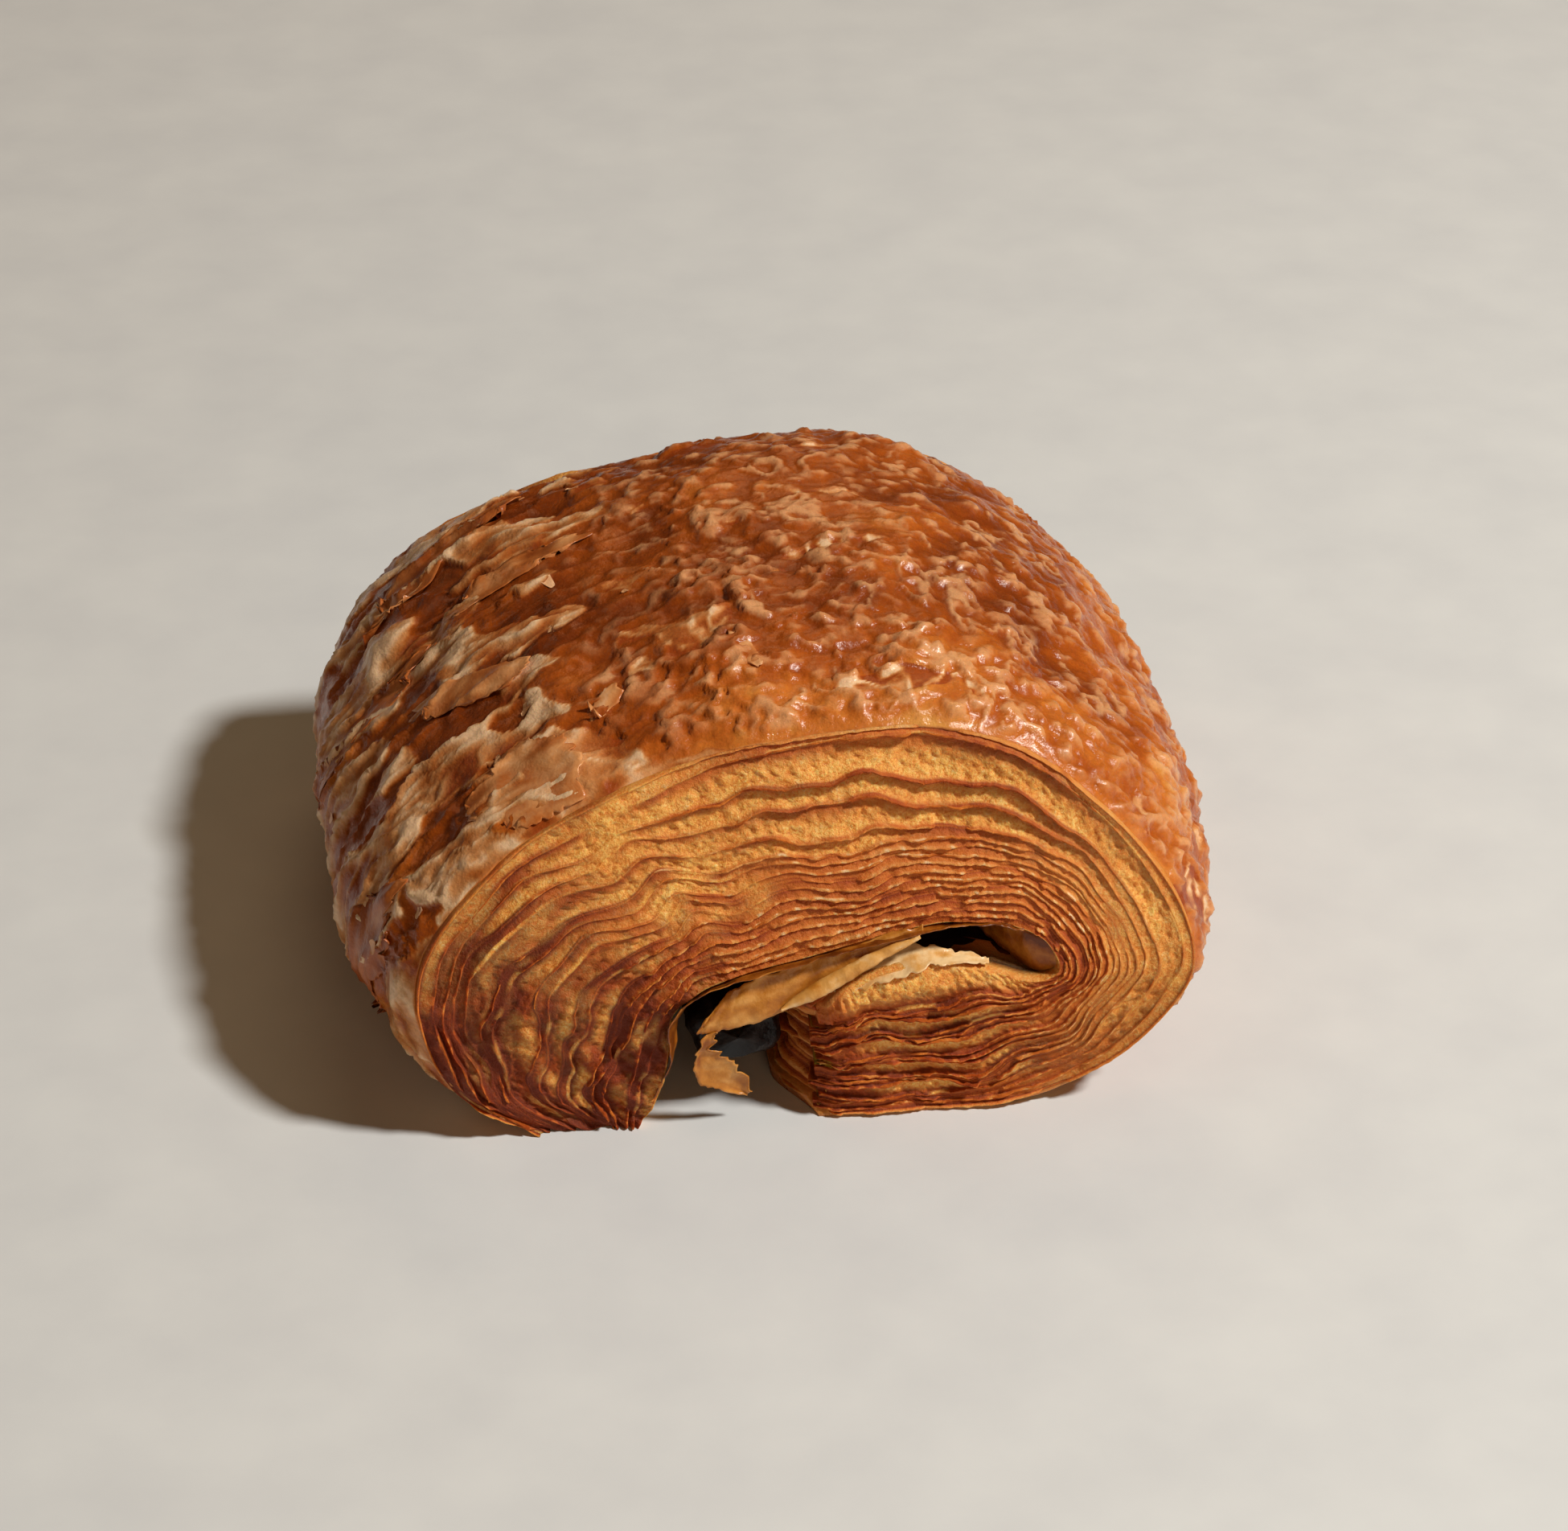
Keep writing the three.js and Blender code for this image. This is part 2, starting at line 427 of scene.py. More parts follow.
def makeParchmentSkin(name, stops):
    # A single leaf of baked dough, thin as paper, with a soft shine: tan and dry where it has lifted
    # off the crust, and golden with butter where it comes from inside.
    material, tree = newMaterial(name)
    where = addNode(tree, "ShaderNodeTexCoord", {}, {}, "Object")
    toast = addNode(tree, "ShaderNodeAttribute", {"attribute_name": "toast"}, {}, "Fac")
    cloud = addNode(tree, "ShaderNodeTexNoise", {},
                    {"Vector": where, "Scale": 1 / (2.5 * mm), "Detail": 4.0})
    speck = addNode(tree, "ShaderNodeTexNoise", {},
                    {"Vector": where, "Scale": 1 / (0.4 * mm), "Detail": 2.0})
    blotch = addNode(tree, "ShaderNodeMath", multiplyAdd, {0: cloud, 1: 0.5, 2: toast})
    tone = addNode(tree, "ShaderNodeMath", multiplyAdd, {0: speck, 1: 0.15, 2: blotch})
    colour = addNode(tree, "ShaderNodeValToRGB", {"stops": stops}, {"Fac": tone})
    both = addNode(tree, "ShaderNodeMath", {"operation": "ADD"}, {0: cloud, 1: speck})
    normal = addNode(tree, "ShaderNodeBump", {}, {"Height": both, "Strength": 0.35, "Distance": 0.15 * mm})
    shader = addNode(tree, "ShaderNodeBsdfPrincipled", {}, {
        "Base Color": colour, "Roughness": 0.3, "Normal": normal, "IOR": 1.45,
    })
    addNode(tree, "ShaderNodeOutputMaterial", {}, {"Surface": shader})
    return material


def makeChocolate():
    # Tempered dark chocolate, melted in the oven and set again: near black with a grey bloom.
    material, tree = newMaterial("melted_dark_chocolate")
    where = addNode(tree, "ShaderNodeTexCoord", {}, {}, "Object")
    cloud = addNode(tree, "ShaderNodeTexNoise", {},
                    {"Vector": where, "Scale": 1 / (2.4 * mm), "Detail": 5.0})
    grit = addNode(tree, "ShaderNodeTexNoise", {},
                   {"Vector": where, "Scale": 1 / (0.6 * mm), "Detail": 3.0})
    colour = addNode(tree, "ShaderNodeValToRGB", {"stops": [
        (0.4, "#0C0605"), (0.54, "#150D0B"), (0.7, "#3A3432"),
    ]}, {"Fac": cloud})
    normal = addNode(tree, "ShaderNodeBump", {}, {"Height": grit, "Strength": 0.6, "Distance": 0.25 * mm})
    shader = addNode(tree, "ShaderNodeBsdfPrincipled", {}, {
        "Base Color": colour, "Roughness": 0.42, "Normal": normal, "IOR": 1.45, "Specular IOR Level": 0.3,
    })
    addNode(tree, "ShaderNodeOutputMaterial", {}, {"Surface": shader})
    return material


glazedCrust = makeGlazedCrust()
lamination = makeLamination("open_puff_layers", 0.5, 0.34)
sheetCrisp = makeLamination("toasted_sheet_edges", 0.0, 0.22)
parchment = makeParchmentSkin("paper_thin_dough_leaf", [
    (0.2, "#F2C296"), (0.4, "#DE9A60"), (0.62, "#C06C32"), (0.84, "#964618"), (1.0, "#6C2E0E"),
])
butteredLeaf = makeParchmentSkin("buttered_dough_leaf", [
    (0.2, "#F4CE98"), (0.4, "#E0A356"), (0.62, "#C27C2C"), (0.84, "#9A5414"), (1.0, "#70360C"),
])
chocolate = makeChocolate()
print("materials made")


def newTree(name, inputs):
    # a geometry node tree with named inputs, and its group input node
    tree = bpy.data.node_groups.new(name, "GeometryNodeTree")
    for key, kind in inputs.items():
        tree.interface.new_socket(key, in_out="INPUT", socket_type="NodeSocket" + kind)
    tree.interface.new_socket("Result", in_out="OUTPUT", socket_type="NodeSocketGeometry")
    return tree, addNode(tree, "NodeGroupInput", {}, {}).node.outputs


def grown(carrier, tree, values, name):
    # runs the tree on the carrier and keeps only the plain mesh that comes out
    modifier = carrier.modifiers.new(tree.name, "NODES")
    modifier.node_group = tree
    for item in tree.interface.items_tree:
        if item.name in values:
            modifier[item.identifier] = values[item.name]
    graph = bpy.context.evaluated_depsgraph_get()
    mesh = bpy.data.meshes.new_from_object(carrier.evaluated_get(graph), preserve_all_data_layers=True,
                                           depsgraph=graph)
    carrier.modifiers.remove(modifier)
    bpy.data.objects.remove(carrier)
    made = bpy.data.objects.new(name, mesh)
    bpy.context.scene.collection.objects.link(made)
    return made


# Single sheets of dough that stand out of a cut end: a thin strip swept along each sheet's edge
sheetEdge = {
    "Thickness": 0.15 * mm,
    "Depth": 1.5 * mm,
    "Spacing": 0.4 * mm,
    "Ragged": 0.55 * mm,
    "Rag size": 0.75 * mm,
    "Seed": 7.0,
    "Material": sheetCrisp,
}


def makeSheetTree():
    tree, given = newTree("sheetEdges", {
        "Lines": "Geometry", "Thickness": "Float", "Depth": "Float", "Spacing": "Float",
        "Ragged": "Float", "Rag size": "Float", "Seed": "Float", "Material": "Material",
    })
    curve = addNode(tree, "GeometryNodeMeshToCurve", {}, {"Mesh": given["Lines"]})
    even = addNode(tree, "GeometryNodeResampleCurve", {"mode": "LENGTH"},
                   {"Curve": curve, "Length": given["Spacing"]})
    upright = addNode(tree, "GeometryNodeSetCurveNormal", {"mode": "FREE"},
                      {"Curve": even, "Normal": (0.0, 1.0, 0.0)})
    strip = addNode(tree, "GeometryNodeCurvePrimitiveQuadrilateral", {},
                    {"Width": given["Depth"], "Height": given["Thickness"]})
    reach = addNode(tree, "GeometryNodeInputNamedAttribute", {"data_type": "FLOAT"}, {"Name": "reach"})
    swept = addNode(tree, "GeometryNodeCurveToMesh", {},
                    {"Curve": upright, "Profile Curve": strip, "Scale": reach, "Fill Caps": True})
    place = addNode(tree, "GeometryNodeInputPosition", {}, {})
    often = addNode(tree, "ShaderNodeMath", {"operation": "DIVIDE"}, {0: 1.0, 1: given["Rag size"]})
    cloud = addNode(tree, "ShaderNodeTexNoise", {"noise_dimensions": "4D"},
                    {"Vector": place, "W": given["Seed"], "Scale": often, "Detail": 2.0})
    middle = addNode(tree, "ShaderNodeMath", {"operation": "SUBTRACT"}, {0: cloud, 1: 0.5})
    rag = addNode(tree, "ShaderNodeMath", {"operation": "MULTIPLY"}, {0: middle, 1: given["Ragged"]})
    away = addNode(tree, "ShaderNodeCombineXYZ", {}, {"X": 0.0, "Y": rag, "Z": 0.0})
    torn = addNode(tree, "GeometryNodeSetPosition", {}, {"Geometry": swept, "Offset": away})
    flat = addNode(tree, "GeometryNodeSetShadeSmooth", {}, {"Geometry": torn, "Shade Smooth": False})
    solid = addNode(tree, "GeometryNodeRealizeInstances", {}, {"Geometry": flat})
    baked = addNode(tree, "GeometryNodeSetMaterial", {}, {"Geometry": solid, "Material": given["Material"]})
    addNode(tree, "NodeGroupOutput", {}, {"Result": baked})
    return tree


sheetTree = makeSheetTree()

# Small curled flakes that have come loose, scattered where the top leaf is torn
looseFlake = {
    "length": 2.6,  # mm, and so are the next two
    "width": 1.5,
    "thickness": 0.06,
    "Spacing": 4.0 * mm,
    "Density": 20000.0,
    "Smallest": 0.3,
    "Largest": 0.8,
    "Seed": 11,
    "Material": parchment,
}


def makeFlakeTree():
    tree, given = newTree("looseFlakes", {
        "Surface": "Geometry", "Flake": "Object", "Spacing": "Float", "Density": "Float",
        "Smallest": "Float", "Largest": "Float", "Seed": "Int", "Material": "Material",
    })
    often = addNode(tree, "GeometryNodeInputNamedAttribute", {"data_type": "FLOAT"}, {"Name": "flaky"})
    spots = addNode(tree, "GeometryNodeDistributePointsOnFaces", {"distribute_method": "POISSON"}, {
        "Mesh": given["Surface"], "Distance Min": given["Spacing"], "Density Max": given["Density"],
        "Density Factor": often, "Seed": given["Seed"],
    })
    angle = addNode(tree, "FunctionNodeRandomValue", {"data_type": "FLOAT"},
                    {2: 0.0, 3: 6.283, "Seed": given["Seed"]}, 1)
    spin = addNode(tree, "FunctionNodeAxisAngleToRotation", {}, {"Axis": (0.0, 0.0, 1.0), "Angle": angle})
    turned = addNode(tree, "FunctionNodeRotateRotation", {"rotation_space": "LOCAL"},
                     {"Rotation": spots.node.outputs["Rotation"], "Rotate By": spin})
    size = addNode(tree, "FunctionNodeRandomValue", {"data_type": "FLOAT"},
                   {2: given["Smallest"], 3: given["Largest"], "Seed": given["Seed"]}, 1)
    flake = addNode(tree, "GeometryNodeObjectInfo", {}, {"Object": given["Flake"]}, "Geometry")
    placed = addNode(tree, "GeometryNodeInstanceOnPoints", {},
                     {"Points": spots, "Instance": flake, "Rotation": turned, "Scale": size})
    solid = addNode(tree, "GeometryNodeRealizeInstances", {}, {"Geometry": placed})
    baked = addNode(tree, "GeometryNodeSetMaterial", {}, {"Geometry": solid, "Material": given["Material"]})
    addNode(tree, "NodeGroupOutput", {}, {"Result": baked})
    return tree


def makeFlakes(surface, name):
    # one curled flake, standing a little off the skin
    a, b = np.meshgrid(np.linspace(-1, 1, 6), np.linspace(-1, 1, 5), indexing="ij")
    x = a * looseFlake["length"] / 2 * (1 - 0.35 * b**2)
    y = b * looseFlake["width"] / 2 * (1 - 0.3 * a)
    z = 0.1 + 0.12 * (a + 0.4) ** 2 * (a > -0.4) + 0.05 * np.sin(3 * a + 2 * b)
    grid = np.stack([x, y, z], -1)
    thin = [0, 0, looseFlake["thickness"] / 2]
    points, faces = closedSlab(grid + thin, grid - np.array(thin), 1)
    mesh = bpy.data.meshes.new("flake")
    mesh.from_pydata((points * mm).tolist(), [], faces)
    flake = bpy.data.objects.new("flake", mesh)
    bpy.context.scene.collection.objects.link(flake)
    carrier = bpy.data.objects.new("carrier", surface.data)
    bpy.context.scene.collection.objects.link(carrier)
    made = grown(carrier, makeFlakeTree(), {**looseFlake, "Flake": flake}, name)
    bpy.data.objects.remove(flake)
    return made


# The crust: the outer skin of the roll, blistered, with its cut edges folded over a little.
crustShape = {
    "cell": 0.42,
    "step": 6,
    "skin": 1.7,  # thickness
    "innerReach": 0.94,  # how far its inner side goes towards the cut ends
    "undulation": 1.15,
    "lump": 0.75,
    "dome": 0.95,  # height of the crowded small blisters
    "domeSize": 1.75,
    "domeAspect": [1.5, 1.0, 1.0],  # they are longer round the roll
    "worm": 0.55,  # height of the long wrinkles
    "pebble": 0.06,
    "crinkle": 0.16,
    "rimWrinkle": 0.16,  # height of the wrinkles close to the cut ends
    "crease": 0.75,  # height of the long creases on the left
    "paper": 0.3,  # height of the folds in the lifted skin
    "skinLift": 0.22,
    "skinCurl": 0.22,  # extra lift at the torn rim of the skin
    "lip": 0.4,  # how far its edge stands out over the cut end
    "foldIn": [1.1, 0.6, 0.22],  # mm inwards from the skin, at the points of the folded edge
    "foldBack": [1.1, 0.3, -0.05],  # mm back from the edge, there
}


def spaced(total, cell, step, coarseFrom=None, coarseCell=1.6):
    # places from 0 to total, cell apart and coarser after coarseFrom, a multiple of step of them
    fineEnd = total if coarseFrom is None else coarseFrom
    cells = fineEnd / cell + (total - fineEnd) / coarseCell
    count = math.ceil(cells / step) * step
    where = np.linspace(0, cells, count + 1)
    return np.interp(where, [0, fineEnd / cell, cells + 1e-9], [0, fineEnd, total])


def crustFields(p, run, fromFront, fromBack):
    # what the crust does at points of the bare dough, run millimetres round the roll
    ends = np.minimum(fromFront, fromBack)
    atEdge, nearEdge = smooth(0.5, 6.0, ends), smooth(0.2, 1.9, ends)
    offFloor = smooth(0.3, 5, p[..., 2])
    warp = np.stack([lumps(p, 4.5, 2, 40 + k) for k in range(3)], -1)
    ripple = np.stack([lumps(p, 1.7, 1, 44 + k) for k in range(3)], -1)
    broad = lumps(p, 15, 2, 5)
    left = 1 - smooth(0.27, 0.40, run / crustLength + 0.07 * broad)
    right = smooth(0.45, 0.62, run / crustLength + 0.05 * broad + 0.1 * smooth(15, 50, fromFront))
    rough = mix(1.0, mix(0.25, 0.7, 1 - smooth(3, 12, fromFront)), left)
    rough = rough * mix(1, 0.66, smooth(22, 44, fromFront) * smooth(24, 44, p[..., 2]))
    much = smooth(-0.45, 0.4, lumps(p, 8, 2, 12))
    # crowded small blisters, with creases between them
    q = p + warp * 1.0 + ripple * 0.5
    flat = flatPoints(run, p[..., 1])
    spread = flatPoints(warp[..., 0], warp[..., 1])
    beads = (flat + spread + ripple * 0.45) / crustShape["domeAspect"]
    dome = 1 - smooth(0.2, 0.95, pits(beads, crustShape["domeSize"], 31))
    dome = dome * mix(0.55, 1, smooth(-0.35, 0.25, gradientNoise(p / 2.6, 33)))
    # worm-like wrinkles, mostly along the front
    ridge = 1 - np.abs(gradientNoise(q / [3.0, 4.2, 3.0], 3)) * 2.8
    where = smooth(-0.15, 0.3, gradientNoise(p / 5.0, 4) + 0.42 * (1 - smooth(7, 18, fromFront)))
    worm = smooth(0.35, 0.85, ridge) * where
    crinkle = np.exp(-4 * np.abs(gradientNoise(q / 1.5, 23)))
    # the lifted paper-thin skin of the left side, in streaks round the roll
    streak = flat + spread * 1.5
    web = gradientNoise(streak / [13, 6.5, 1], 6) + 0.42 * gradientNoise(streak / [5, 3.2, 1], 7)
    web = web + 0.10 + 0.22 * (1 - smooth(3, 11, fromFront)) - 0.75 * (1 - left)
    lifted = smooth(-0.03, 0.05, web)
    rough = rough * (1 - 0.75 * lifted)  # the lifted skin bridges the blisters
    curl = lifted * hump(web, 0.05, 0.05) * smooth(-0.3, 0.5, lumps(p, 6, 1, 18))
    long = np.abs(gradientNoise(streak / [19, 4.8, 1], 8))
    short = np.abs(gradientNoise(streak / [8, 2.5, 1], 19))
    tiny = np.abs(gradientNoise((streak + ripple * 0.6) / [2.8, 1.3, 1], 21))
    paper = 1.1 * np.exp(-6 * short) + 0.4 * np.exp(-5 * tiny)
    base = crustShape["undulation"] * lumps(p, 19, 2, 9) * mix(0.35, 1, atEdge) - 0.6
    base = base + crustShape["lump"] * lumps(p, 8, 2, 10) * mix(0.3, 1, atEdge)
    base = base + crustShape["crease"] * (1.2 * np.exp(-5 * long) - 0.4) * left * atEdge
    height = base + crustShape["dome"] * dome * mix(0.55, 1, much) * rough * nearEdge
    height += crustShape["worm"] * worm * mix(1, 0.6, right) * rough * nearEdge
    height += crustShape["crinkle"] * crinkle * rough * nearEdge * mix(0.4, 1, much)
    height += crustShape["pebble"] * gradientNoise(p / 0.9, 11) * nearEdge * rough
    rimWrinkle = crustShape["rimWrinkle"] * gradientNoise(q / [1.5, 1.0, 1.5], 35)
    height += rimWrinkle * (1 - smooth(2, 5, ends)) * smooth(0, 0.8, ends)
    raised = crustShape["skinLift"] * lifted + crustShape["skinCurl"] * curl
    height += (raised + crustShape["paper"] * paper * lifted) * left * nearEdge
    # painted highlight: the tops of the blisters and of the long wrinkles are made paler
    domeHighlight = smooth(0.32, 0.98, dome + 0.2 * gradientNoise(p / 0.8, 34)) * mix(0.45, 1, much)
    pale = np.maximum(0.9 * domeHighlight, worm * smooth(-0.6, 0.4, lumps(p, 9, 2, 16))) * mix(0.3, 1, nearEdge)
    skinShade = 0.1 + 0.5 * lumps(p, 6, 3, 22) + 0.5 * np.exp(-6 * short) + 0.38 * np.exp(-6 * long)
    skinShade = skinShade + 0.25 * curl + 0.16 * np.exp(-5 * tiny) - 0.25 * (1 - smooth(6, 22, p[..., 2]))
    pale = mix(pale, mix(0.05, skinShade, lifted), left)
    top = smooth(22, 50, p[..., 2])
    bake = 0.14 + 0.24 * top * smooth(3, 20, fromFront) + 0.22 * lumps(p, 11, 3, 13)
    # darker in the hollows of the lumps
    bake = bake - 0.1 * np.clip(base + 0.6, -1.2, 1.2)
    # painted shade: darker in the creases between the blisters; the bare crust under the torn skin on the
    # left is a deeper brown
    bake = bake + 0.16 * (1 - dome) * (1 - left) * nearEdge + 0.26 * left * (1 - lifted)
    flaky = hump(web, 0, 0.08) * left
    return {
        "base": base * offFloor, "height": height * offFloor,
        "bake": np.clip(bake, 0, 1), "pale": np.clip(pale, 0, 1),
        "skin": 0.5 + np.clip(web, -0.5, 0.5), "flaky": flaky * nearEdge * smooth(6, 14, p[..., 2]),
    }


def makeCrust():
    step = crustShape["step"]
    underneath = np.interp(13.0, places, crustRun)
    run = spaced(crustLength, crustShape["cell"], step, underneath)
    s = alongDough(run)
    fold = len(crustShape["foldIn"])
    columns = math.ceil((roll["length"] / crustShape["cell"] + 2 * fold) / step) * step + 1
    along = np.linspace(-1, 1, columns - 2 * fold)
    bare = splayed(doughPoint(s[:, None], 0.0, along[None, :]), s[:, None])
    fields = crustFields(bare, run[:, None], bare[..., 1] - bare[:, :1, 1], bare[:, -1:, 1] - bare[..., 1])
    skin = bare + surfaceNormals(bare) * fields["height"][..., None]
    thick = thicknessAt(s)
    sides = []
    for end, edge in ((-1, 0), (1, -1)):
        where = flatPoints(run, end * 50.0)
        ragged = 0.45 * lumps(where, 7, 2, 20) + 0.35 * lumps(where, 2.2, 3, 21)
        share = run / crustLength
        stands = mix(0.1, 1.0, smooth(0.32, 0.41, share) * (1 - smooth(0.54, 0.62, share)))
        out = (crustShape["lip"] * stands + 0.7 * ragged) * smooth(0.2, 4, bare[:, edge, 2])
        reach = np.exp(-np.abs(bare[:, :, 1] - bare[:, edge, 1][:, None]) / 1.5)
        skin[..., 1] += end * out[:, None] * reach
        lift = skin[:, edge] - bare[:, edge]
        folded = []
        for inwards, back in zip(crustShape["foldIn"], crustShape["foldBack"]):
            p = splayed(doughPoint(s, inwards / thick, float(end)), s) + lift
            p[:, 1] -= end * back
            folded.append(p)
        sides.append(np.stack(folded if end < 0 else folded[::-1], 1))
    fine = np.concatenate([sides[0], skin, sides[1]], 1)
    fine[..., 2] = np.maximum(fine[..., 2], 0)
    coarseS = s[::step]
    coarseAlong = np.linspace(-1, 1, (fine.shape[1] - 1) // step + 1) * crustShape["innerReach"]
    inner = doughPoint(coarseS[:, None], (crustShape["skin"] / thicknessAt(coarseS))[:, None],
                       coarseAlong[None, :])
    inner = splayed(inner, coarseS[:, None])
    inner[..., 2] = np.maximum(inner[..., 2], innerGap)
    points, faces = closedSlab(fine, inner, step)
    count = inner.shape[0] * inner.shape[1]
    atFold = {"bake": 0.12, "skin": 0.2, "pale": 0.3, "flaky": 0.0}
    for key, value in atFold.items():
        values = np.pad(fields[key], ((0, 0), (fold, fold)), constant_values=value)
        fields[key] = padded(values, count, value)
    fields = {key: fields[key] for key in atFold}
    return makeObject("crust", points, faces, glazedCrust, fields)


crust = finished(makeCrust(), node="pastry")
finished(makeFlakes(crust, "loose_flakes"))

# Patches of the top leaf that have lifted off, in millimetres
liftedLeaf = {
    "thickness": 0.12,
    "cell": 0.35,
    "patches": [  # where round the crust and along the roll, half sizes, turn, lift and toast
        (52.5, -30.5, 6.5, 6.0, 20, 0.3, 0.16),
        (49.0, -10.0, 7.5, 2.6, -25, 0.7, 0.14),
        (47.0, 25.0, 11.0, 3.6, 25, 0.35, 0.30),
        (56.0, 10.0, 8.0, 2.2, 10, 0.35, 0.24),
        (25.0, -31.0, 10.0, 4.2, -12, 0.15, 0.34),
        (36.0, 2.0, 10.0, 2.2, 15, 0.3, 0.36),
        (63.0, -24.0, 2.6, 1.3, 40, 0.4, 0.10),
        (79.0, -22.0, 3.4, 1.0, -70, 0.35, 0.05),
    ],
}


def makeLiftedLeaf(number, run, y, halfRun, halfWide, turn, lift, toast):
    seed = 500 + 10 * number
    rows = max(8, int(2 * halfRun / liftedLeaf["cell"]))
    columns = max(8, int(2 * halfWide / liftedLeaf["cell"]))
    a, b = np.meshgrid(np.linspace(-1, 1, rows + 1), np.linspace(-1, 1, columns + 1), indexing="ij")
    u, v = a * np.sqrt(1 - b**2 / 2), b * np.sqrt(1 - a**2 / 2)  # a square made round
    far = np.hypot(u, v)
    around = flatPoints(u, v) / np.maximum(far, 1e-6)[..., None]
    ragged = 1 + 0.42 * lumps(around, 0.9, 2, seed) + 0.16 * lumps(around, 0.16, 2, seed + 1)
    u, v = u * mix(1, ragged, far**2), v * mix(1, ragged, far**2)
    cosine, sine = math.cos(math.radians(turn)), math.sin(math.radians(turn))
    runHere = run + u * halfRun * cosine - v * halfWide * sine
    yHere = y + u * halfRun * sine + v * halfWide * cosine
    s = alongDough(runHere)
    half = roll["length"] / 2 - roll["lean"] * np.maximum(0, section(s, 0.0)[1] - roll["leanStart"])
    yHere = np.maximum(yHere, 0.4 - half)
    bare = splayed(doughPoint(s, 0.0, yHere / half), s)
    base = crustFields(bare, runHere, yHere + half, half - yHere)["base"]
    spot = flatPoints(runHere, yHere)
    folds = np.abs(gradientNoise(spot / [7, 2.4, 1], seed + 2))
    rise = 0.3 + lift * smooth(-0.7, 1.1, u + 0.5 * v) + 0.3 * (0.6 - folds * 1.6)
    rise += 0.2 * lumps(around, 0.7, 2, seed + 3) * far**5
    grid = bare + surfaceNormals(bare) * (base + np.maximum(rise, 0.1))[..., None]
    thin = surfaceNormals(grid) * liftedLeaf["thickness"] / 2
    points, faces = closedSlab(grid + thin, grid - thin, 1)
    tone = toast + 0.2 * lumps(spot, 4, 2, seed + 5) - 0.15 * np.exp(-5 * folds) + 0.12
    return makeObject("lifted_leaf_%02d" % (number + 1), points, faces, parchment,
                      {"toast": np.concatenate([tone.ravel(), tone.ravel()])})


for number, patch in enumerate(liftedLeaf["patches"]):
    finished(makeLiftedLeaf(number, *patch))

# The layers of the dough. Each is a sheet edge, a gap under it and crumb that slopes out to the
# next sheet.
layering = {
    "layers": 16,
    "columns": 480,
    "crumbCell": 0.36,
    "thinnest": 0.35,  # mm, and so are the next ones down to depth
    "sheetMost": 0.25,  # thickness of the thickest sheet edge
    "standOut": 0.3,  # of the whole cut end from the bare dough
    "pitDepth": 0.46,
    "grain": 0.36,
    "lobeBulge": 0.8,
    "tipBack": 1.1,  # how far the face draws back at the lobe's tip
    "floorGap": 0.06,
    "depth": 7.0,  # how far the layers go into the roll
    "step": 6,
    "from": 0.024,
    "to": 0.99,
}
# where layers are thicker, because the dough rose more: layer, place along the dough, reach, and
# how many times thicker
risenBands = [
    (0, 0.30, 0.20, 0.5), (0, 0.47, 0.13, -0.6), (0, 0.72, 0.08, 1.2),
    (1, 0.49, 0.17, 4.4), (1, 0.72, 0.07, 2.2),
    (2, 0.47, 0.17, 2.2), (2, 0.74, 0.08, 1.0),
    (3, 0.45, 0.17, 2.6),
    (4, 0.36, 0.14, 1.2), (4, 0.17, 0.06, 1.8),
    (6, 0.12, 0.08, 1.8), (6, 0.30, 0.05, 1.0),
    (8, 0.16, 0.08, 2.4),
    (10, 0.12, 0.09, 1.4),
    (13, 0.08, 0.07, 1.6),
    (3, 0.93, 0.09, 1.8), (6, 0.92, 0.1, 2.6), (9, 0.94, 0.1, 3.0), (12, 0.91, 0.1, 2.2),
    (15, 0.92, 0.11, 9.0), (15, 0.06, 0.05, 1.2),
]


def layerEdges(s, seed):
    # where each sheet edge lies, as t at the places s
    count, thick, arc = layering["layers"], thicknessAt(s), s * doughLength
    width = np.ones((count, len(s)))
    for layer, centre, reach, extra in risenBands:
        width[layer] += extra * hump(s, centre, reach)
    for k in range(count):
        width[k] *= np.maximum(0.3, 1 + 0.55 * lumps(flatPoints(arc, k * 7.3), 10, 2, 50 + seed))
    edges = np.concatenate([np.zeros((1, len(s))), np.cumsum(width, 0)]) / width.sum(0)
    where = flatPoints(arc, edges * thick)
    footward = 1 - smooth(0.12, 0.26, s)
    # how freely the layers wander
    free = 0.3 + 0.9 * hump(edges, 0.14, 0.15) + 0.8 * footward + 0.6 * smooth(0.82, 0.92, s)
    wave = lumps(where, [15, 6, 1], 2, 60 + seed) * 1.1 * free
    wave = wave + lumps(where, [4.5, 2.2, 1], 2, 61 + seed) * 0.35 * free
    own = flatPoints(arc, np.arange(count + 1)[:, None] * 8.1)
    alone = lumps(own, [9, 1, 1], 2, 62 + seed) * 0.35 + lumps(own, [1.6, 1, 1], 2, 63 + seed) * 0.17
    wave = wave + alone * free
    edges = edges + wave * np.sin(np.pi * np.clip(edges, 0, 1)) / thick
    least = layering["thinnest"] / thick
    for k in range(1, count + 1):
        edges[k] = np.maximum(edges[k], edges[k - 1] + least)
    return layering["from"] + (layering["to"] - layering["from"]) * edges / edges[-1]


def tipOut(number, y, seed):
    # how far each layer stands out at the lobe's tip, at y along the roll
    where = flatPoints(y, number * 5.1)
    return 2.2 * lumps(where, [9, 1, 1], 2, 95 + seed) + 0.4 * lumps(where, [1.4, 1, 1], 2, 96 + seed)


# The inside of the roll, from the left foot round the hollow to the tip of the lower lobe.
liningShape = {
    "cell": 0.7,
    "tipCell": 0.26,
    "alongCell": 0.8,
    "step": 6,
    "skin": 1.3,  # thickness
    "wrinkle": 0.35,
}
lobeTip = np.array([(0.0, 0.0), (0.9, 2.6), (1.7, 6.0), (1.6, 9.5), (0.4, 12.4), (-1.5, 15.0)])


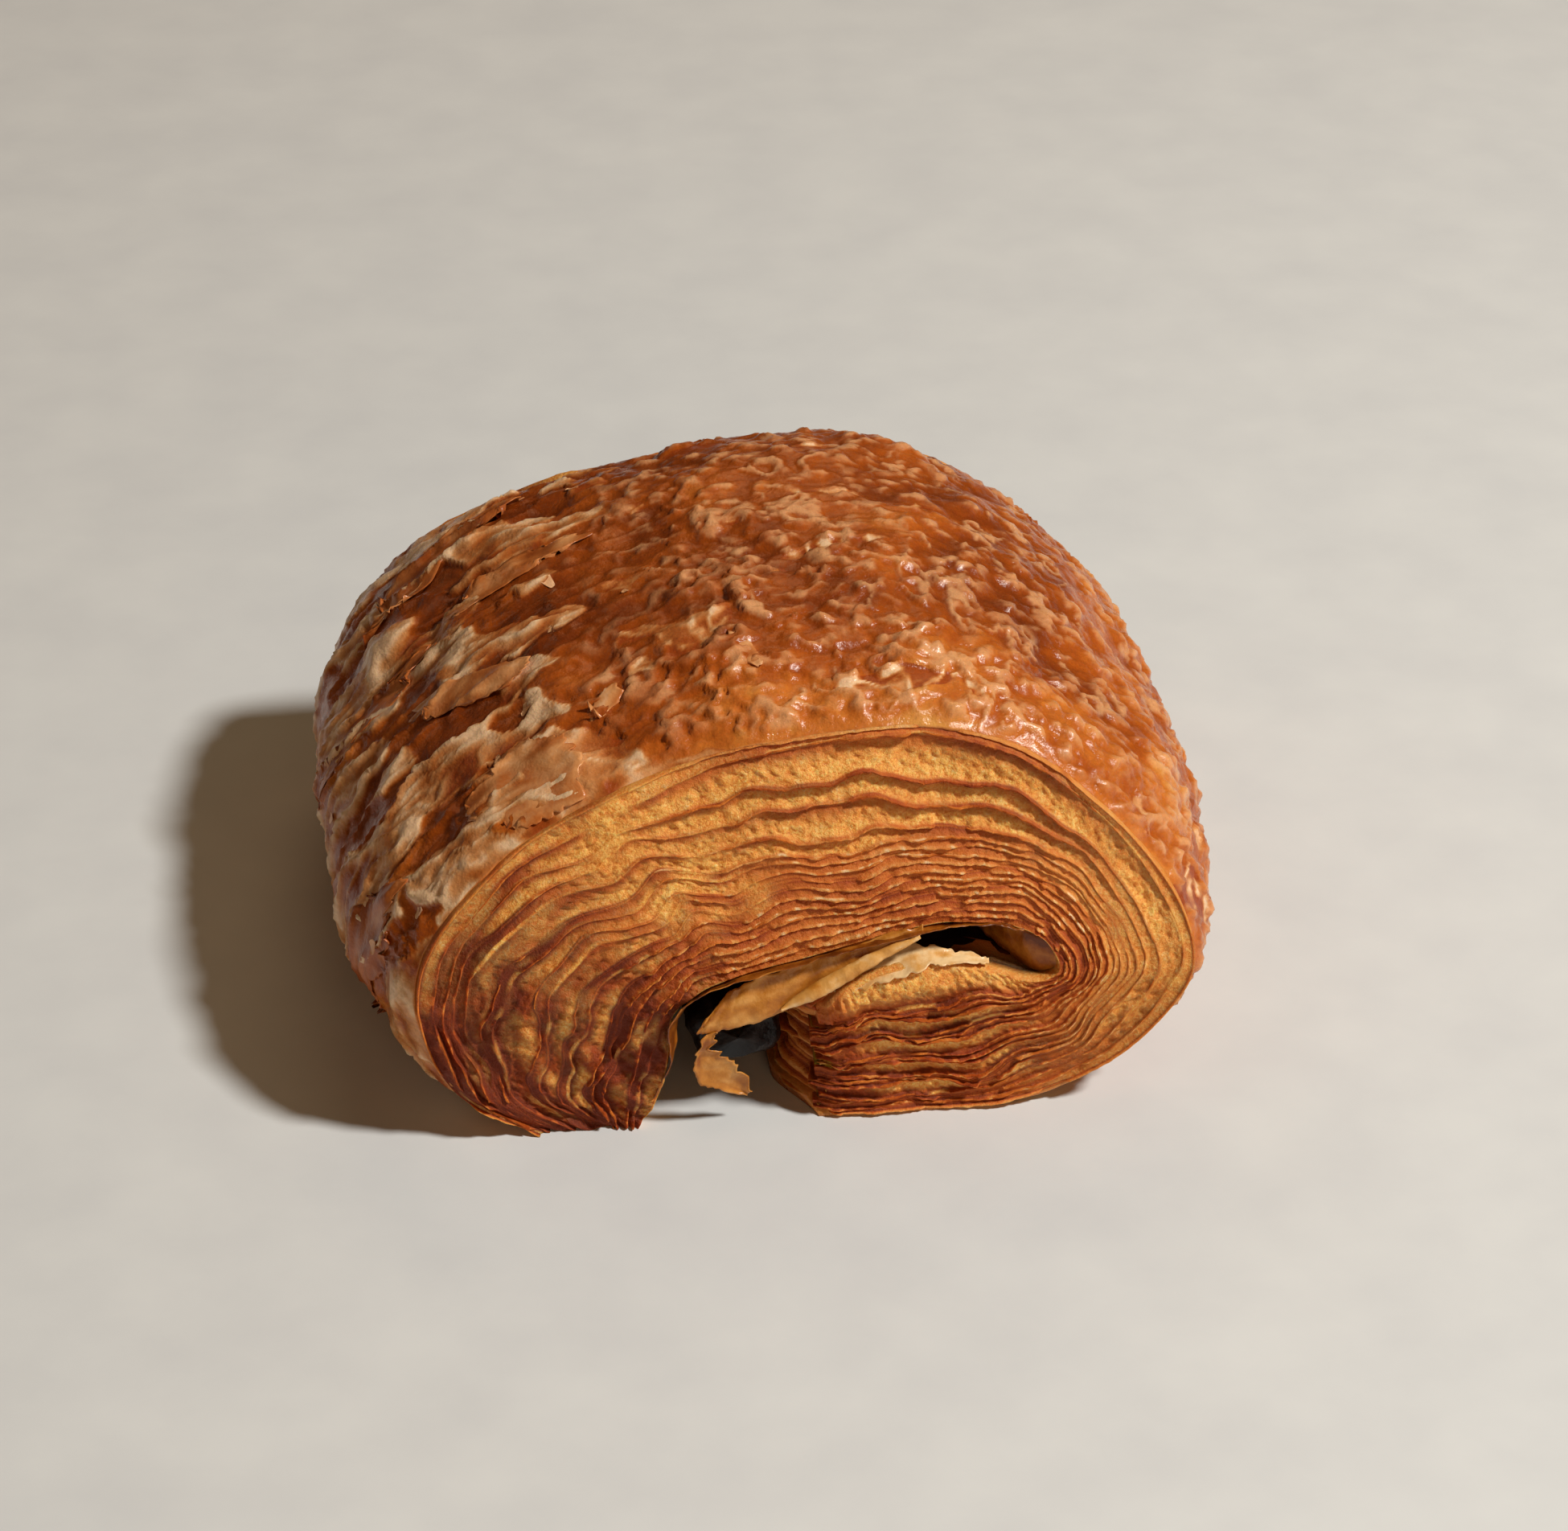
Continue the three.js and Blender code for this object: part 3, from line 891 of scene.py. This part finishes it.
def makeLining():
    step = liningShape["step"]
    foot = np.linspace([-31.5, 0.0], [-19.6, 0.0], 12)[:-1]
    inside = spline(stations, places[::6])[:, 2:]
    tip = spline(lobeTip, np.linspace(0, len(lobeTip) - 1, 80))[::-1][1:]
    path = np.concatenate([foot, inside, tip])
    run = runAlong(path)
    tipStart = run[len(foot) + len(inside) - 1]
    backwards = spaced(run[-1], liningShape["tipCell"], step, run[-1] - tipStart, liningShape["cell"])
    where = run[-1] - backwards[::-1]
    x, z = np.interp(where, run, path[:, 0]), np.interp(where, run, path[:, 1])
    columns = math.ceil(roll["length"] / liningShape["alongCell"] / step) * step + 1
    along = np.linspace(-0.985, 0.985, columns)
    pathS = np.concatenate([0 * foot[:, 0], meanRun[::6] / doughLength, 1 + 0 * tip[:, 0]])
    bare = inDough(x[:, None], z[:, None], along[None, :])
    bare = splayed(bare, np.interp(where, run, pathS)[:, None])
    normals = -surfaceNormals(bare)
    onTip = smooth(tipStart - 0.8, tipStart + 0.2, where)[:, None]
    offFloor = smooth(0.1, 1.2, bare[..., 2])
    t = np.clip((run[-1] - where) / (run[-1] - tipStart), 0, 1)  # through the layers of the tip
    edges = layerEdges(np.array([1.0]), 0)[:, 0]
    number = np.clip(np.searchsorted(edges, t) - 1, 0, layering["layers"] - 1)
    share = (t - edges[number]) / (edges[number + 1] - edges[number])
    bead = np.sin(np.pi * np.clip(share / 0.62, 0, 1)) ** 0.6
    out = tipOut(number[:, None], bare[..., 1], 0)
    leaf = out * np.clip(bead, 0.25, 1)[:, None] - 0.5 * (1 - bead)[:, None]
    wrinkle = liningShape["wrinkle"] * lumps(bare, [3, 7, 3], 3, 32)
    height = mix(wrinkle - 0.15, leaf, onTip) * offFloor
    fine = bare + normals * height[..., None]
    fine[..., 2] = np.maximum(fine[..., 2], 0)
    coarse = (bare - normals * liningShape["skin"])[::step, ::step]
    coarse[..., 1] *= 0.97
    coarse[..., 2] = np.maximum(coarse[..., 2], innerGap)
    points, faces = closedSlab(fine, coarse, step, flip=True)
    count = coarse.shape[0] * coarse.shape[1]
    sole = 1 - smooth(0.2, 2.5, bare[..., 2])
    # painted shade: the lining is made darker and less golden further in from the cut ends
    deep = smooth(0.6, 2.6, roll["length"] / 2 - np.abs(bare[..., 1])) * (1 - onTip) * (1 - sole)
    toast = 0.5 + 0.15 * lumps(bare, 7, 3, 33) + onTip * (0.15 - 0.4 * bead[:, None])
    toast = toast + 0.4 * deep + 0.2 * sole
    golden = 0.6 * smooth(-0.1, 0.4, lumps(bare, 6, 2, 34)) * (1 - onTip) * (1 - deep) * (1 - sole)
    # painted shade: deep inside the slit the lining is painted near black, in blotches
    stain = 0.96 * deep * smooth(8, 13, bare[..., 0]) * smooth(-0.9, -0.2, lumps(bare, 5, 2, 35))
    fields = {"toast": padded(np.clip(toast, 0, 1), count), "golden": padded(golden, count, 0),
              "stain": padded(stain, count, 0)}
    return makeObject("lining", points, faces, lamination, fields)


finished(makeLining())


sheetRow, gapRow, crumbRow, wallRow = range(4)  # what a row of the cut end's grid lies on


def makeCutEnd(name, end):
    # end is -1 for the front and 1 for the back
    count = layering["layers"]
    seed = 300 if end > 0 else 0
    s = np.linspace(0.0, 1.0, layering["columns"] + 1)
    thick, arc = thicknessAt(s), s * doughLength
    edges = layerEdges(s, seed)
    widthMm = np.diff(edges, axis=0) * thick
    beadShares = [0.0, 0.25, 0.6, 0.92]
    rows = []  # t, kind, share of the way and layer
    for k in range(count):
        sheet = np.minimum(layering["sheetMost"], widthMm[k] * 0.58) / thick
        for share in beadShares:
            rows.append((edges[k] + sheet * share, sheetRow, share, k))
        start = edges[k] + sheet * 1.12
        rows.append((start, gapRow, 0.0, k))
        crumbRows = int(np.clip(np.ceil((widthMm[k].max() - 1.0) / layering["crumbCell"]), 2, 13))
        for m in range(1, crumbRows + 1):
            f = m / (crumbRows + 1)
            rows.append((mix(start, edges[k + 1], f), crumbRow, f, k))
    for past, share in ((0.0, 0.0), (0.25, 0.5), (0.1, 1.0)):
        rows.append((edges[-1] + past / thick, wallRow, share, count - 1))
    step = layering["step"]
    while (len(rows) - 1) % step:
        rows.insert(1, (mix(rows[0][0], rows[1][0], 0.5), sheetRow, 0.1, 0))
    t = np.stack([row[0] for row in rows])
    kind, f, layer = [np.array([row[k] for row in rows])[:, None] for k in (1, 2, 3)]
    number = np.arange(count)[:, None]
    where = flatPoints(arc, t * thick)
    wide = np.minimum(widthMm, 5.0)
    thin = 1 - smooth(1.3, 2.6, wide)
    openTop = smooth(0.27, 0.4, s) * (1 - smooth(0.58, 0.68, s))
    upper = hump(number, 2.2, 1.7) * openTop * (number > 0)
    calm = 1 - 0.88 * hump(s, 0.69, 0.1) * (number < 8)
    vague = hump(s, 0.28, 0.1) * (number < 10)  # where the layers run together
    foot = 1 - smooth(0.14, 0.3, s)
    lobe = smooth(0.8, 0.88, s)
    sheetWhere = flatPoints(arc, number * 9.7)
    closed = 1 - smooth(0.32, 0.41, s) * (1 - smooth(0.54, 0.62, s))
    loose = 0.22 + 0.75 * foot + 0.7 * lobe
    out = 0.2 + 0.65 * upper + 0.3 * closed * (number == 0)
    out = out + loose * lumps(sheetWhere, [7, 1, 1], 2, 70 + seed)
    out = out + 0.25 * lumps(sheetWhere, [1.5, 1, 1], 2, 71 + seed)
    out = out + 0.16 * lumps(sheetWhere, [0.6, 1, 1], 1, 79 + seed)
    # where a sheet has broken off, so that its line stops
    often = 0.1 - 0.3 * foot * (number > 2) * (number < 13) - 0.12 * (1 - openTop) * (1 - lobe)
    torn = smooth(often + 0.08, often + 0.3, lumps(sheetWhere, [6, 1, 1], 2, 72 + seed))
    torn = torn * (1 - 0.6 * upper)
    blurred = 0.85 * vague * smooth(-0.3, 0.2, lumps(sheetWhere, [5, 1, 1], 2, 85 + seed))
    torn = np.maximum(torn, blurred)
    out = mix(out, -0.25, torn) * calm * (1 - 0.5 * vague)
    gap = -0.16 - 0.09 * wide - 0.45 * foot - 0.15 * lobe
    gap = gap + 0.25 * lumps(sheetWhere, [6, 1, 1], 2, 73 + seed)
    gap = gap * (0.2 + 0.8 * calm) * mix(1.0, 0.35, torn) * (1 - 0.6 * vague)
    # some sheets have baked together, so the line between them is lost for a while
    joined = smooth(-0.2, 0.2, lumps(sheetWhere, [11, 1, 1], 2, 83 + seed)) * (1 - 0.7 * upper)
    joined = np.maximum(joined * mix(1.0, 0.5, foot), 0.85 * lobe * (1 - smooth(0.6, 1.0, wide)))
    gap = mix(gap, out * 0.5 - 0.15, 0.8 * np.maximum(joined, closed * (number == 0)))
    k = layer[:, 0]
    after = np.minimum(k + 1, count - 1)
    bead = np.interp(f, beadShares, [0.55, 0.95, 1.0, 0.8])
    sheetHeight = out[k] * bead + 0.12 * np.sin(np.pi * np.clip(f, 0, 1)) - 0.1
    slope = mix(gap[k], out[after] * 0.55 - 0.1, f ** 0.7)
    texture = layering["pitDepth"] * (1 - pits(where, 0.85, 5))
    texture = texture + layering["grain"] * lumps(where, 0.7, 2, 74)
    bulge = layering["lobeBulge"] * lobe * (k == count - 1)[:, None] * np.sin(np.pi * np.clip(f, 0, 1))
    slope = slope + bulge - texture * smooth(0.6, 2.2, wide[k]) * np.sin(np.pi * np.clip(f, 0, 1)) ** 0.5
    rounded = np.interp(f, [0, 0.5, 1], [-0.1, -1.0, -2.2]) + 0 * t
    onRow = [kind == sheetRow, kind == gapRow, kind == crumbRow]
    height = np.select(onRow, [sheetHeight, gap[k], slope], rounded)
    height = height + 0.6 * lumps(where, [16, 14, 1], 2, 75 + seed)
    height = height + mix(0.35, 0.8, foot) * lumps(where, [20, 3.6, 1], 2, 80 + seed) * calm[k]
    base = splayed(doughPoint(s[None, :], t, float(end)), s[None, :])
    fine = base.copy()
    fine[..., 1] += end * (height + layering["standOut"])
    nearTip = smooth(0.955, 1.0, s)[None, :]
    pages = tipOut(layer, base[..., 1], 0) * nearTip * (kind != gapRow)
    fine[..., 0] -= pages * smooth(0.1, 1.2, base[..., 2])
    fine[..., 1] -= end * layering["tipBack"] * smooth(0.985, 1.0, s)[None, :]
    coarseT = t[::step, ::step].copy()
    coarseT[-1] -= 1.2 / thick[::step]
    coarse = doughPoint(s[None, ::step], coarseT, float(end))
    coarse = splayed(coarse, s[None, ::step])
    coarse[..., 1] -= end * layering["depth"]
    for grid in (fine, coarse):
        grid[..., 2] = np.maximum(grid[..., 2], layering["floorGap"])
    points, faces = closedSlab(fine, coarse, step, flip=end > 0)
    coarseCount = coarse.shape[0] * coarse.shape[1]
    sheetGlint = lumps(where, [1.1, 1.0, 1], 2, 76 + seed)
    # painted shade: the crumb is darker just under each sheet's overhang; darker at the foot and the lobe
    crumbTone = mix(0.36, 0.44, thin[k]) + 0.2 * (1 - f) ** 2 + 0.22 * foot + 0.14 * lobe
    sheetTone = mix(0.46, 0.36, thin[k]) + upper[k] * mix(0.18, 0.36, smooth(0.3, 0.7, f))
    # painted highlight: the sheet edges are lighter in patches along their length
    sheetTone = sheetTone - 0.36 * smooth(0.0, 0.5, sheetGlint) * (1 - 0.85 * upper[k])
    sheetTone = sheetTone + 0.2 * foot + 0.2 * lobe + 0.16 * (f > 0.7)
    sheetTone = mix(sheetTone, 0.25 + 0 * t, (k == 0)[:, None] * 0.8)
    sheetTone = mix(sheetTone, crumbTone, torn[k])
    # painted shade: the gap under each sheet edge is darker
    gapTone = mix(0.62 + 0.12 * foot + 0.12 * lobe, crumbTone, np.maximum(torn, 0.8 * joined)[k])
    toast = np.select(onRow, [sheetTone, gapTone, crumbTone], 0.35)
    toast = toast + 0.16 * lumps(where, [16, 6, 1], 2, 77) + 0.08 * foot + 0.1 * (1 - calm[k])
    airy = mix(wide, wide * 1.6, lobe)
    # the crumb is golden in the wide bands; painted shade: less golden just under each sheet
    golden = np.where(kind == crumbRow, smooth(1.1, 2.4, airy[k]) * smooth(0.05, 0.6, f), 0.0)
    golden = np.maximum(golden, 0.75 * (closed * (1 - lobe))[None, :] * (k == 0)[:, None])
    golden = np.where(kind < crumbRow, torn[k] * smooth(1.1, 2.4, wide[k]), golden)
    patchy = mix(0.85, 0.35, foot) + mix(0.5, 1.3, foot) * lumps(where, [6, 4, 1], 2, 78)
    golden = golden * np.clip(patchy, 0, 1)
    golden = np.maximum(golden, (kind == wallRow) * 0.6)
    # painted light: the outer layers round the right of the roll, lit from the right, are made golden
    golden = np.maximum(golden, (1 - calm[k]) * np.where(kind > gapRow, 0.75, 0.4))
    golden = golden * (1 - smooth(0.94, 0.97, s))
    golden = np.maximum(golden, vague[k] * smooth(-0.1, 0.5, lumps(where, [9, 5, 1], 2, 84)))
    # painted shade: the inner wall rows inside the slit are painted near black
    stain = 0.96 * (kind == wallRow) * smooth(0.4, 1.0, f) * smooth(9, 13, base[..., 0])
    fields = {"toast": padded(np.clip(toast, 0, 1), coarseCount),
              "golden": padded(np.clip(golden, 0, 1), coarseCount, 0),
              "stain": padded(stain, coarseCount, 0)}
    sheets = name.replace("layers", "sheets")
    makeSheets(sheets, end, fine, kind[:, 0], f[:, 0], k, upper, torn, lobe, foot)
    return makeObject(name, points, faces, lamination, fields)


def makeSheets(name, end, fine, kind, f, layer, upper, torn, lobe, foot):
    # lines along the sheet edges for the node tree, broken where a sheet is torn off
    points, lines, reach, toast = [], [], [], []
    for number in range(1, layering["layers"]):
        row = int(np.argmax((kind == sheetRow) & (layer == number) & (f == 0.6)))
        line = fine[row].copy()
        place = flatPoints(np.arange(len(line)) * doughLength / layering["columns"], number * 6.1)
        seed = 600 + (end > 0)
        stands = 0.02 + 0.22 * lumps(place, [5, 1, 1], 2, seed)
        stands = stands + 0.4 * np.maximum(foot, lobe) * lumps(place, [9, 1, 1], 1, seed + 2)
        whole = lumps(place, [7, 1, 1], 2, seed + 4) + 0.5 * upper[number] - 0.6 * torn[number]
        beforeTip = 1 - smooth(0.975, 0.99, np.linspace(0, 1, len(line)))
        kept = smooth(-0.28, 0.0, whole) * smooth(0.0, 1.2, line[:, 2]) * beforeTip
        line[:, 1] += end * (stands - 0.5 * sheetEdge["Depth"] / mm)
        tone = 0.3 + 0.3 * upper[number] + 0.2 * lobe + 0.25 * foot
        tone = tone + 0.3 * lumps(place, [3, 1, 1], 2, seed + 6)
        alive = kept > 0.25
        start = len(points)
        for i in range(1, len(line)):
            if alive[i] and alive[i - 1]:
                lines.append((start + i - 1, start + i))
        points.extend(line)
        reach.extend(mix(0.35, 1.0, kept))
        toast.extend(np.clip(tone, 0, 1))
    carrier = makeObject(name + "_lines", np.array(points), [], sheetCrisp,
                         {"reach": reach, "toast": toast, "golden": np.zeros(len(points))}, lines)
    return finished(grown(carrier, sheetTree, {**sheetEdge, "Seed": sheetEdge["Seed"] + (end > 0)}, name))


finished(makeCutEnd("layers_front", -1))
finished(makeCutEnd("layers_back", 1))

# Paper-thin leaves that hang loose in the front opening, in millimetres. Each is a ribbon: points along
# its middle, its width there, and the direction that the width lies in.
thinLeaf = {"thickness": 0.14, "cell": 0.3}
looseLeaves = {
    # hangs from the roof of the opening
    "hanging_leaf": {
        "middle": [(13.2, -41.6, 24.6), (8.0, -42.0, 22.8), (2.0, -42.4, 20.4), (-4.0, -42.9, 18.0),
                   (-9.6, -43.3, 16.0), (-12.4, -43.7, 14.4)],
        "widths": [0.8, 3.0, 4.6, 5.4, 4.8, 1.6],
        "across": [(0, 0.5, 1), (-0.1, 0.4, 1), (-0.1, 0.35, 1), (0, 0.3, 1), (0.25, 0.3, 1),
                   (0.6, 0.3, 1)],
        "seed": 200, "ragged": 0.6, "curl": 0.2, "toast": 0.3,
    },
    # its lower hem, turned up
    "turned_hem": {
        "middle": [(12.8, -42.4, 24.3), (8.0, -43.1, 22.4), (3.9, -43.7, 20.4), (0, -44.0, 18.4),
                   (-3.5, -44.1, 16.4)],
        "widths": [0.5, 1.4, 1.9, 1.8, 0.3],
        "across": [(-0.4, 0.5, 0.85), (-0.4, 0.5, 0.85), (-0.4, 0.4, 0.85), (-0.4, 0.4, 0.85),
                   (-0.4, 0.4, 0.85)],
        "seed": 210, "ragged": 0.16, "curl": 0.15, "toast": 0.12,
    },
    # its torn end, which hangs down
    "loose_end": {
        "middle": [(-11.4, -43.9, 13.6), (-11.8, -43.9, 11.6), (-11.2, -43.6, 9.0), (-9.4, -43.3, 6.6),
                   (-6.8, -42.8, 4.0)],
        "widths": [0.9, 2.0, 4.0, 3.4, 0.5],
        "across": [(1, 0.2, 0.3), (1, 0.2, 0.3), (0.9, 0.1, 0.5), (0.7, 0.1, 0.7), (0.7, 0.1, 0.7)],
        "seed": 220, "ragged": 1.4, "curl": 0.35, "toast": 0.28,
    },
    # lies on the lower lobe
    "pale_leaf": {
        "middle": [(2.5, -42.0, 17.2), (6, -42.2, 18.8), (10, -42.0, 20.2), (14, -41.8, 20.9),
                   (17.5, -41.8, 20.7), (21.0, -42.0, 20.2)],
        "widths": [0.8, 3.4, 4.0, 3.2, 2.2, 0.5],
        "across": [(0, 1, 0.55), (0, 1, 0.6), (0, 1, 0.5), (0, 1, 0.35), (0, 1, 0.2), (0, 1, 0.1)],
        "seed": 230, "ragged": 1.0, "curl": 0.15, "toast": -0.06,
    },
    # closes the right end of the slit
    "slit_fold": {
        "middle": [(20.4, -34.5, 21.8), (23.2, -38.0, 21.6), (26.0, -40.4, 21.0), (29.4, -42.0, 20.4)],
        "widths": [5.4, 6.4, 7.0, 5.0],
        "across": [(0.1, 0.1, 1), (0.05, 0.2, 1), (0, 0.2, 1), (0, 0.2, 1)],
        "seed": 240, "ragged": 0.5, "curl": -0.9, "toast": 0.46,
    },
    # edges the roof of the opening
    "roof_edge": {
        "middle": [(-17.6, -42.4, 4.0), (-15.3, -43.0, 10.0), (-15.2, -43.1, 15.2), (-12.0, -43.0, 18.8),
                   (-5.0, -42.6, 21.0), (2.0, -42.2, 22.6), (8, -41.8, 23.7), (15.0, -41.4, 24.5),
                   (21, -41.4, 24.6), (25, -41.6, 23.8)],
        "widths": [1.2, 2.4, 2.8, 3.0, 2.6, 2.2, 2.0, 1.8, 1.2, 0.3],
        "across": [(0.25, 1, 0), (0.35, 1, 0), (0.4, 1, -0.1), (0.3, 1, -0.3), (0.1, 1, -0.3),
                   (0.1, 1, -0.3), (0.1, 1, -0.2), (0, 1, -0.2), (0, 1, -0.2), (0, 1, -0.2)],
        "seed": 260, "ragged": 0.6, "curl": 0.1, "toast": 0.55,
    },
}


def makeLeaf(name, middle, widths, across, seed, ragged, curl, toast):
    middle, across = np.array(middle, float), np.array(across, float)
    length = runAlong(middle)[-1]
    rows = int(length / thinLeaf["cell"])
    u = np.linspace(0, len(middle) - 1, rows + 1)
    centre, side = spline(middle, u), spline(across, u)
    side /= np.linalg.norm(side, axis=-1, keepdims=True)
    width = spline(np.array(widths, float)[:, None], u)[:, 0]
    columns = max(6, int(max(widths) / thinLeaf["cell"]))
    v = np.linspace(-1, 1, columns + 1)
    along = u / u[-1] * length
    low, high = [(width / 2 + ragged * lumps(flatPoints(along, k), 1.6, 3, seed + k))[:, None]
                 for k in (0, 9)]
    reach = np.where(v[None, :] < 0, low, high)
    grid = centre[:, None] + side[:, None] * (v[None, :, None] * np.maximum(reach, 0.1)[..., None])
    normal = surfaceNormals(grid)
    spot = flatPoints(along[:, None], v[None, :] * width.max() / 2)
    wave = 0.35 * lumps(spot, [3, 5, 1], 3, seed + 3) + curl * np.abs(v[None, :]) ** 3
    grid = grid + normal * wave[..., None]
    normal = surfaceNormals(grid)
    thin = normal * thinLeaf["thickness"] / 2
    points, faces = closedSlab(grid + thin, grid - thin, 1)
    tone = toast + 0.36 * lumps(spot, [3.5, 2, 1], 3, seed + 5)
    fields = {"toast": np.concatenate([tone.ravel(), tone.ravel()])}
    return finished(makeObject(name, points, faces, butteredLeaf, fields))


for name, leaf in looseLeaves.items():
    makeLeaf(name, **leaf)

# The batons, softened by the oven
batonShape = {
    "left": {"node": "chocolate_baton_left", "seed": 400, "tilt": 12, "grow": 0.8, "sag": 0.85,
             "run": 1.4, "droop": 1.9},
    "right": {"node": "chocolate_baton_right", "seed": 410, "tilt": -10, "grow": 0.2, "sag": 0.15,
              "run": 0.0, "droop": 0.0},
    "width": 9.4,
    "squareness": 0.45,  # of the section: 1 is round
    "softLength": 16,  # how far from its ends a baton runs and droops
    "around": 48,
    "cell": 0.7,
}


def rotated(a, b, angle):
    cosine, sine = math.cos(angle), math.sin(angle)
    return a * cosine - b * sine, a * sine + b * cosine


def makeBaton(side):
    shape, width = batonShape[side], batonShape["width"]
    low, high = [np.array(corner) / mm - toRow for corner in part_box(shape["node"])]
    tilt = math.radians(shape["tilt"])
    turn = math.atan2(roll["skew"], roll["length"])
    length = (high[1] - low[1]) - width * math.sin(turn)
    tall = (high[2] - low[2]) - width * math.sin(abs(tilt))
    count = int(length / batonShape["cell"])
    angle = np.linspace(0, 2 * math.pi, batonShape["around"], endpoint=False)
    ringX, ringZ = [np.sign(part) * np.abs(part) ** batonShape["squareness"] * size / 2
                    for part, size in ((np.cos(angle), width), (np.sin(angle), tall))]
    y = np.linspace(-1, 1, count + 1)
    shrink = (1 - np.abs(y) ** 40) ** 0.5
    shrink[[0, -1]] = 0.02
    grid = np.zeros((count + 1, len(angle), 3))
    grid[..., 0] = ringX * shrink[:, None]
    grid[..., 2] = ringZ * shrink[:, None]
    grid[..., 1] = (y * length / 2)[:, None]
    outward = grid * [1, 0, 1]
    outward = outward / np.maximum(np.linalg.norm(outward, axis=-1, keepdims=True), 1e-6)
    soften = shape["sag"] * lumps(grid, 5, 2, shape["seed"])
    soften = soften + 0.5 * shape["sag"] * lumps(grid, 1.6, 2, shape["seed"] + 1)
    grid = grid + outward * ((soften + shape["grow"] * 0.4) * (shrink > 0.5)[:, None])[..., None]
    softEnd = smooth(length / 2 - batonShape["softLength"], length / 2, np.abs(grid[..., 1]))
    grid[..., 2] -= shape["droop"] * softEnd
    grid[..., 1] += np.sign(grid[..., 1]) * shape["run"] * softEnd
    tiltedX, tiltedZ = rotated(grid[..., 0], grid[..., 2], tilt)
    turnedX, turnedY = rotated(tiltedX, grid[..., 1], turn)
    middle = [batonPush[side][0] - roll["skew"] / 2, 0, (low[2] + high[2]) / 2]
    placed = np.stack([turnedX, turnedY, tiltedZ], -1) + middle
    rows, columns = placed.shape[:2]
    index = np.arange(rows * columns).reshape(rows, columns)
    a, b = index[:-1], np.roll(index, -1, 1)[:-1]
    c, d = np.roll(index, -1, 1)[1:], index[1:]
    faces = np.stack([a, b, c, d], -1).reshape(-1, 4)[:, ::-1].tolist()
    points = placed.reshape(-1, 3).tolist()
    for row, flip in ((0, False), (-1, True)):
        points.append(placed[row].mean(0).tolist())
        for m in range(columns):
            ends = [int(index[row, m]), int(index[row, (m + 1) % columns])]
            faces.append((ends if flip else ends[::-1]) + [len(points) - 1])
    melted = makeObject(shape["node"] + "_melted", points, faces, chocolate)
    return finished(melted, shape["node"])


makeBaton("left")
makeBaton("right")

# Floor, lights and camera
stage = {
    "floorSize": 2.8,  # m
    "target": (3.4, -6.0, 25.0),  # mm, and so is distance
    "azimuth": -6.0,
    "elevation": 33.0,
    "distance": 560.0,
    "lens": 106.5,
    "sensor": 36,
    "lights": {  # azimuth, elevation, distance and size in metres, power and colour
        "key": (64, 50, 1.2, 0.15, 13.7, "#FFFCF4"),
        "softBack": (170, 46, 1.1, 0.6, 1.1, "#FFD6A4"),
        "softLeft": (238, 38, 1.1, 0.3, 0.36, "#FFDAB0"),
        "front": (8, 16, 1.1, 0.5, 1.36, "#FFDCB0"),
    },
    "lightsAim": (0, 0, 0.02),
    "world": "#F2C48A",
    "worldStrength": 0.046,
}


def makeFloor():
    half = stage["floorSize"] / 2
    mesh = bpy.data.meshes.new("floor")
    mesh.from_pydata([(-half, -half, 0), (half, -half, 0), (half, half, 0), (-half, half, 0)], [],
                     [(0, 1, 2, 3)])
    # Matt plaster board, sanded: pale and even, with a faint cloud
    material, tree = newMaterial("matt_plaster_board")
    where = addNode(tree, "ShaderNodeTexCoord", {}, {}, "Object")
    cloud = addNode(tree, "ShaderNodeTexNoise", {},
                    {"Vector": where, "Scale": 1 / (14 * mm), "Detail": 5.0})
    colour = addNode(tree, "ShaderNodeValToRGB", {"stops": [(0.3, "#D8DADC"), (0.7, "#DFE1E2")]},
                     {"Fac": cloud})
    shader = addNode(tree, "ShaderNodeBsdfPrincipled", {}, {"Base Color": colour, "Roughness": 0.8})
    addNode(tree, "ShaderNodeOutputMaterial", {}, {"Surface": shader})
    mesh.materials.append(material)
    floor = bpy.data.objects.new("floor", mesh)
    bpy.context.scene.collection.objects.link(floor)


def aimed(made, at):
    made.rotation_euler = (Vector(at) - made.location).to_track_quat("-Z", "Y").to_euler()
    bpy.context.scene.collection.objects.link(made)
    return made


def direction(azimuth, elevation):
    a, e = math.radians(azimuth), math.radians(elevation)
    return Vector((math.sin(a) * math.cos(e), -math.cos(a) * math.cos(e), math.sin(e)))


def makeLight(name, azimuth, elevation, distance, size, power, colour):
    lamp = bpy.data.lights.new(name, "AREA")
    lamp.shape = "DISK"
    lamp.size = size
    lamp.energy = power
    lamp.color = linear(colour)[:3]
    made = bpy.data.objects.new(name, lamp)
    made.location = direction(azimuth, elevation) * distance
    return aimed(made, stage["lightsAim"])


makeFloor()
for name, light in stage["lights"].items():
    makeLight(name, *light)
world = bpy.data.worlds.new("studio")
world.use_nodes = True
background = world.node_tree.nodes["Background"]
background.inputs["Color"].default_value = linear(stage["world"])
background.inputs["Strength"].default_value = stage["worldStrength"]
bpy.context.scene.world = world
bpy.context.scene.view_settings.view_transform = "Standard"

camera = bpy.data.objects.new("camera", bpy.data.cameras.new("camera"))
camera.data.lens = stage["lens"]
camera.data.sensor_width = stage["sensor"]
target = Vector(stage["target"]) * mm
camera.location = target + direction(stage["azimuth"], stage["elevation"]) * stage["distance"] * mm
aimed(camera, target)
bpy.context.scene.camera = camera
print("floor, lights and camera made")
